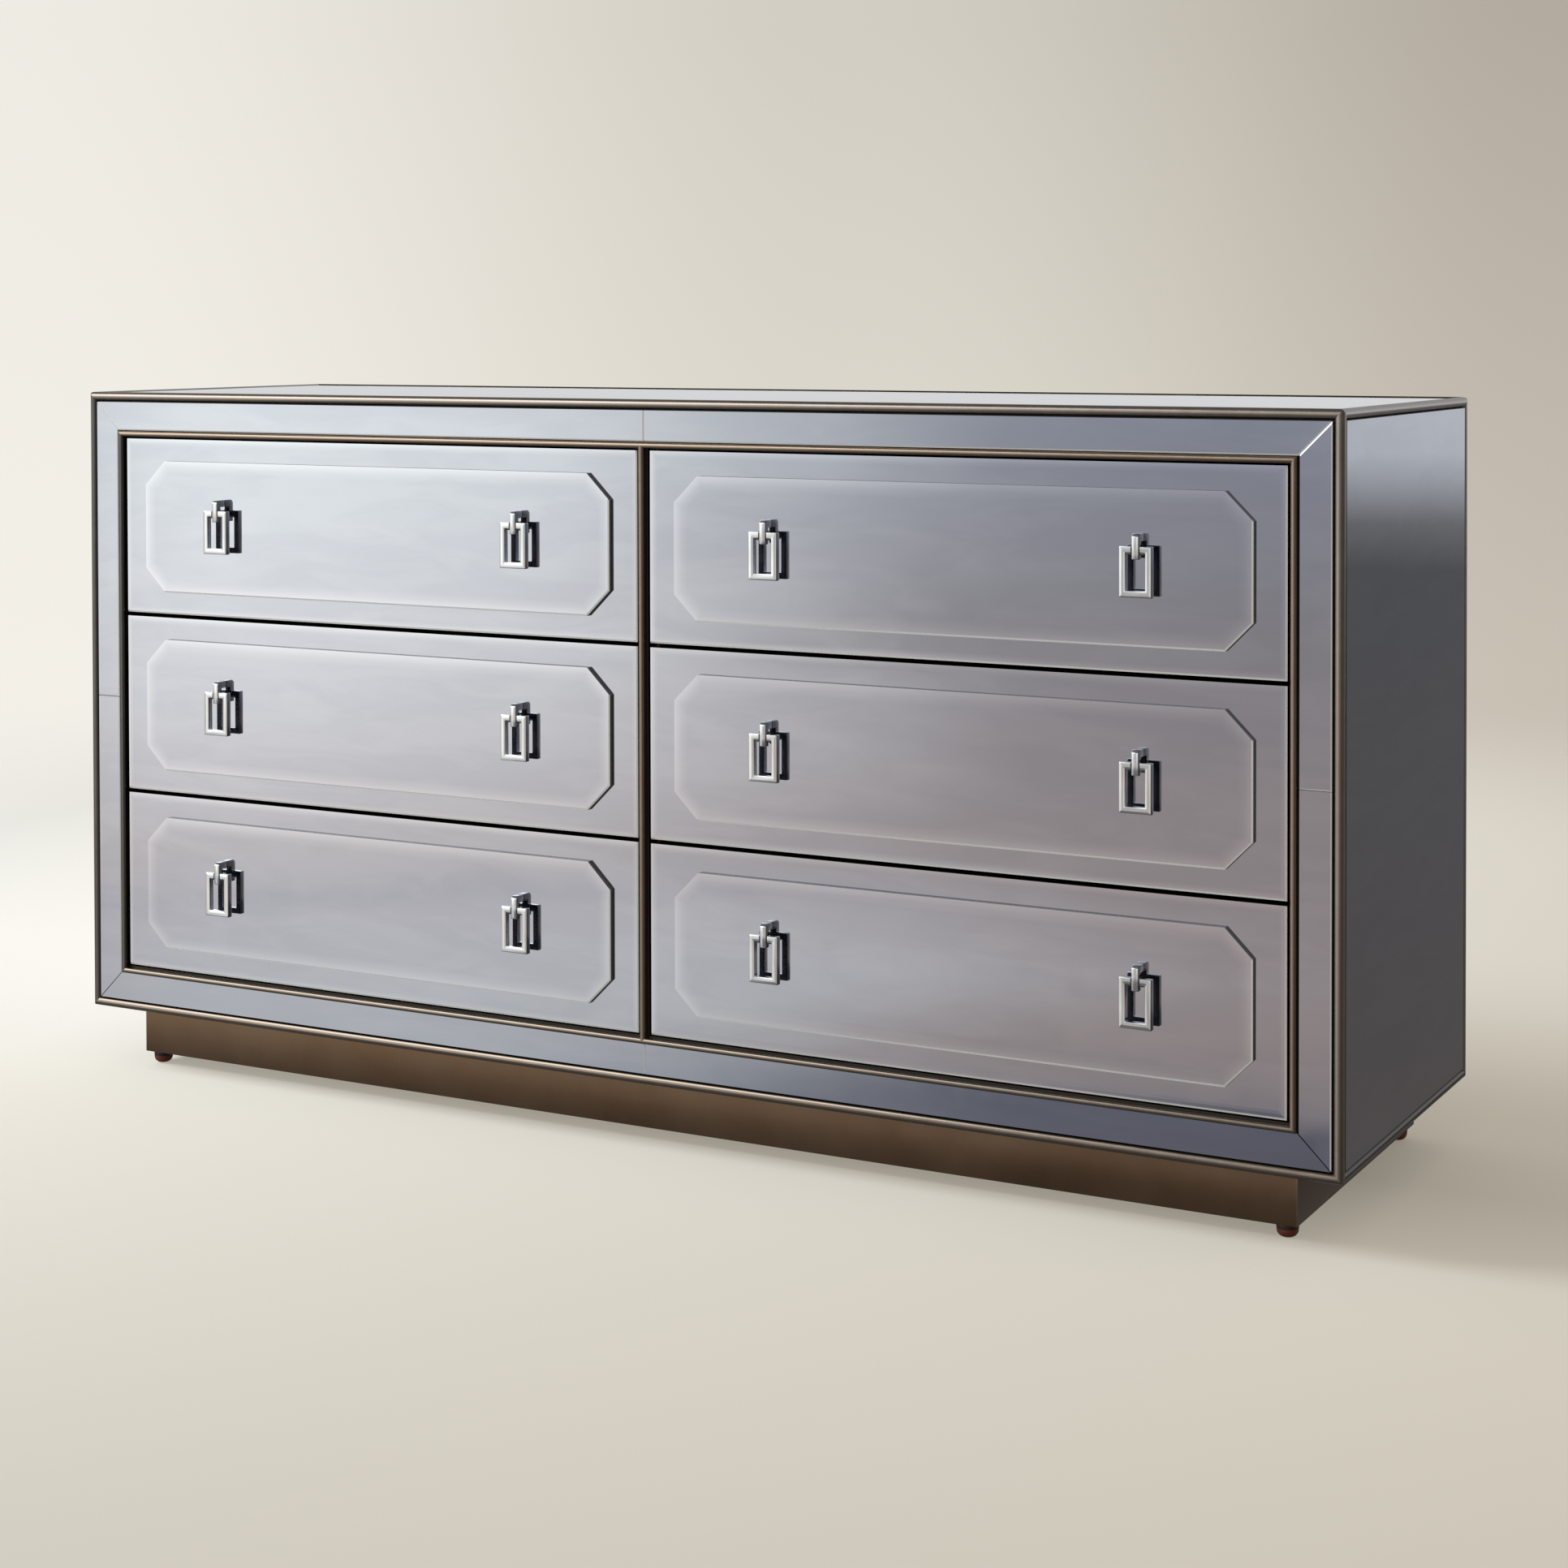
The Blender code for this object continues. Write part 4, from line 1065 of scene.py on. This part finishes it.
# The glowing share is tinted warm and the lit share cool, so that the shadow is painted warm
for colour, tint, socket in (
    (lit, (0.952, 1.01, 1.10), "Base Color"),
    (tone, (1.04, 0.985, 0.90), "Emission Color"),
):
    tinted = put(tree, "VectorMath", {0: colour, 1: tint}, operation="MULTIPLY")
    feed(tree, shader[socket], tinted.outputs["Vector"])
to_camera = put(tree, "LightPath").outputs["Is Camera Ray"]
feed(tree, shader["Emission Strength"], reckon(tree, "MULTIPLY", to_camera, glow_share))
raise_surface(tree, shader, noise(tree, 3.0, 4.0, place), 0.0005)
away = put(tree, "VectorMath", {0: place}, operation="LENGTH").outputs["Value"]
fade = spread(tree, away, FADE_START, FADE_END, 1.0, 0.0, "SMOOTHERSTEP")
feed(tree, shader["Alpha"], fade)

world = bpy.data.worlds.new("studio")
bpy.context.scene.world = world
world.use_nodes = True
tree = world.node_tree
tree.nodes.clear()
way = put(tree, "TexCoord").outputs["Generated"]
part = put(tree, "SeparateXYZ", {0: way}).outputs
backwards = [reckon(tree, "MULTIPLY", part[axis], -1.0) for axis in "XY"]
# Degrees from -180 to 180, with 0 straight in front of the dresser, growing to the left
turn = spread(tree, reckon(tree, "ARCTAN2", *backwards), -math.pi, math.pi, -180.0, 180.0)


def ramp(value, reach, stops, ease="LINEAR"):
    """A run of greys or colours over a value from -reach to reach, with stops (value, colour)."""
    node = put(tree, "ValToRGB", {0: spread(tree, value, -reach, reach)})
    node.color_ramp.interpolation = ease
    elements = node.color_ramp.elements
    while len(elements) < len(stops):
        elements.new(0.5)
    for element, (at, colour) in zip(elements, stops):
        element.position = (at + reach) / (2 * reach)
    for element, (at, colour) in zip(elements, stops):
        element.color = (*(colour if isinstance(colour, tuple) else (colour,) * 3), 1.0)
    return node.outputs["Color"]


# What stands about in the room: soft slanting shapes, most of them low down
clutter = noise(tree, 5.0, 4.0, laid(tree, way, (1, 1, 3.5), 35), Roughness=0.55)
low_slant = reckon(
    tree,
    "MULTIPLY",
    spread(tree, part["Z"], -0.225, -0.185, 5.6, 0.0),
    spread(tree, part["Z"], -0.250, -0.226),
)
slant = reckon(tree, "ADD", low_slant, spread(tree, clutter, 0.3, 0.7, -1.4, 1.4))
slanted_turn = reckon(tree, "ADD", turn, slant)
window_side = ramp(
    part["Z"],
    1.0,
    [
        (-0.90, 0.10),
        (-0.60, 0.25),
        (-0.45, 0.40),
        (-0.36, (0.88, 0.90, 0.93)),
        (-0.31, (0.90, 0.92, 0.95)),
        (-0.285, (0.66, 0.68, 0.66)),
        (-0.268, (0.80, 0.82, 0.79)),
        (-0.240, (0.86, 0.87, 0.81)),
        (-0.217, (0.90, 0.88, 0.83)),
        (-0.199, (0.93, 0.89, 0.83)),
        (-0.194, (0.82, 0.79, 0.76)),
        (-0.189, (0.93, 0.88, 0.81)),
        (-0.180, (1.00, 0.93, 0.84)),
        (-0.13, (1.31, 1.27, 1.17)),
        (-0.07, (1.47, 1.48, 1.36)),
        (0.0, (1.45, 1.50, 1.36)),
        (0.45, 1.45),
        (0.60, 0.80),
        (0.75, 0.25),
        (1.0, 0.12),
    ],
)
dim_side = ramp(
    part["Z"],
    1.0,
    [
        (-0.90, 0.08),
        (-0.60, 0.20),
        (-0.45, (0.17, 0.155, 0.14)),
        (-0.36, (0.17, 0.155, 0.14)),
        (-0.315, (0.17, 0.16, 0.155)),
        (-0.29, (0.20, 0.20, 0.23)),
        (-0.274, (0.155, 0.16, 0.185)),
        (-0.267, (0.40, 0.35, 0.33)),
        (-0.243, (0.52, 0.43, 0.38)),
        (-0.17, (0.49, 0.42, 0.385)),
        (-0.11, (0.42, 0.385, 0.37)),
        (-0.04, (0.43, 0.44, 0.47)),
        (0.10, 0.62),
        (0.45, 0.80),
        (0.60, 0.50),
        (0.75, 0.20),
        (1.0, 0.10),
    ],
)
far_side = ramp(
    part["Z"],
    1.0,
    [
        (-0.60, 0.20),
        (-0.26, (0.124, 0.110, 0.102)),
        (-0.085, 0.124),
        (-0.070, 0.22),
        (-0.047, (0.67, 0.69, 0.70)),
        (-0.02, (0.73, 0.74, 0.75)),
        (0.05, (0.70, 0.70, 0.70)),
        (0.30, 0.42),
        (0.60, 0.28),
    ],
)
window_near = ramp(
    slanted_turn,
    180,
    [
        (2, 0.0),
        (8, 0.45),
        (13, 0.45),
        (17, 0.0),
        (19, 0.0),
        (24.5, 0.09),
        (29.5, 0.54),
        (33, 0.82),
        (38, 0.95),
        (41, 1.0),
    ],
)
# Low down the window shows less far to the right
low_near = ramp(turn, 180, [(28, 0.0), (33, 0.25), (36, 0.55), (39, 0.90), (41, 1.0)])
window_near = blend_colours(tree, spread(tree, part["Z"], -0.275, -0.305), window_near, low_near)
window_far = ramp(turn, 180, [(40.4, 1.0), (41.6, 0.82), (46, 0.40), (60, 0.16), (90, 0.0)])
dim_share = ramp(
    turn, 180, [(-150, 0.55), (-90, 0.30), (-65, 0.20), (-35, 0.38), (-12, 0.75), (8, 1.0)]
)
dim_room = blend_colours(tree, dim_share, (0, 0, 0), dim_side)
window_share = reckon(tree, "MULTIPLY", window_near, window_far)
front_room = blend_colours(tree, window_share, dim_room, window_side)
bare_room = blend_colours(tree, spread(tree, part["Y"], 0.2, 0.7), front_room, far_side)
# A soft box high up on the left makes the long highlights of the round beads
BEAD_LAMP_WAY, BEAD_LAMP_COLOUR = (-0.640, -0.580, 0.504), (3.4, 3.36, 3.28)
near_lamp = put(tree, "VectorMath", {0: way, 1: BEAD_LAMP_WAY}, operation="DOT_PRODUCT")
lamp_share = spread(tree, near_lamp.outputs["Value"], 0.93, 0.99, step="SMOOTHSTEP")
room = blend_colours(tree, lamp_share, bare_room, BEAD_LAMP_COLOUR)
# The wall is painted paler to the left and darker to the right, and paler low down, more so on the
# right: painted studio light and shade
wall = ramp(
    part["X"],
    1.0,
    [
        (-0.69, (0.86, 0.83, 0.77)),
        (-0.45, (0.66, 0.63, 0.558)),
        (-0.224, (0.475, 0.43, 0.37)),
        (0.24, (0.60, 0.56, 0.50)),
        (1.0, (0.86, 0.83, 0.77)),
    ],
    "EASE",
)
wall_foot = spread(tree, part["X"], -0.68, -0.24, 1.05, 1.22)
wall_head = spread(tree, part["X"], -0.68, -0.24, 1.00, 0.945)
wall = shaded(tree, wall, spread(tree, part["Z"], -0.12, 0.10, wall_foot, wall_head))
# Matt surfaces are lit by one warm tone, mirrors show the room and the camera sees the wall
ray = put(tree, "LightPath").outputs
glow = blend_colours(tree, ray["Is Glossy Ray"], (0.555, 0.485, 0.395), room)
seen = blend_colours(tree, ray["Is Camera Ray"], glow, wall)
light = put(tree, "Background", {"Color": seen, "Strength": 1.0})
feed(tree, put(tree, "OutputWorld").inputs["Surface"], light.outputs[0])
world.cycles.sampling_method = "NONE"

# A square soft box by the window, which the mirrors don't show
LAMP_PLACE, LAMP_AIM = Vector((-5.7, -1.7, 4.0)), Vector((0, 0, 0.4))
put_down()
bpy.ops.object.light_add(type="AREA", location=LAMP_PLACE)
lamp = named(bpy.context.active_object, "window_light")
lamp.data.size, lamp.data.energy, lamp.data.color = 2.7, 540.0, (1.0, 1.0, 0.985)
lamp.rotation_euler = (LAMP_AIM - LAMP_PLACE).to_track_quat("-Z", "Y").to_euler()
lamp.visible_camera = lamp.visible_glossy = lamp.visible_transmission = False

# The camera stands right of the middle and just above the top, level but for one degree
CAMERA_PLACE = (1.64306, -2.94249, 0.92651)
TURN, TILT, ROLL = math.radians(28.281), math.radians(1.186), math.radians(-0.116)
put_down()
bpy.ops.object.camera_add(location=CAMERA_PLACE)
camera = named(bpy.context.active_object, "camera")
camera.data.lens, camera.data.sensor_width = 65.81, 36.0
camera.data.shift_x, camera.data.shift_y = 0.0, -0.2595
back = Vector(
    (math.sin(TURN) * math.cos(TILT), -math.cos(TURN) * math.cos(TILT), math.sin(TILT))
)
right = Vector((math.cos(TURN), math.sin(TURN), 0))
up = back.cross(right)
rolled_right = right * math.cos(ROLL) + up * math.sin(ROLL)
rolled_up = up * math.cos(ROLL) - right * math.sin(ROLL)
camera.rotation_euler = Matrix((rolled_right, rolled_up, back)).transposed().to_euler()
bpy.context.scene.camera = camera
bpy.context.scene.view_settings.view_transform = "Standard"

put_down()
low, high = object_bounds()
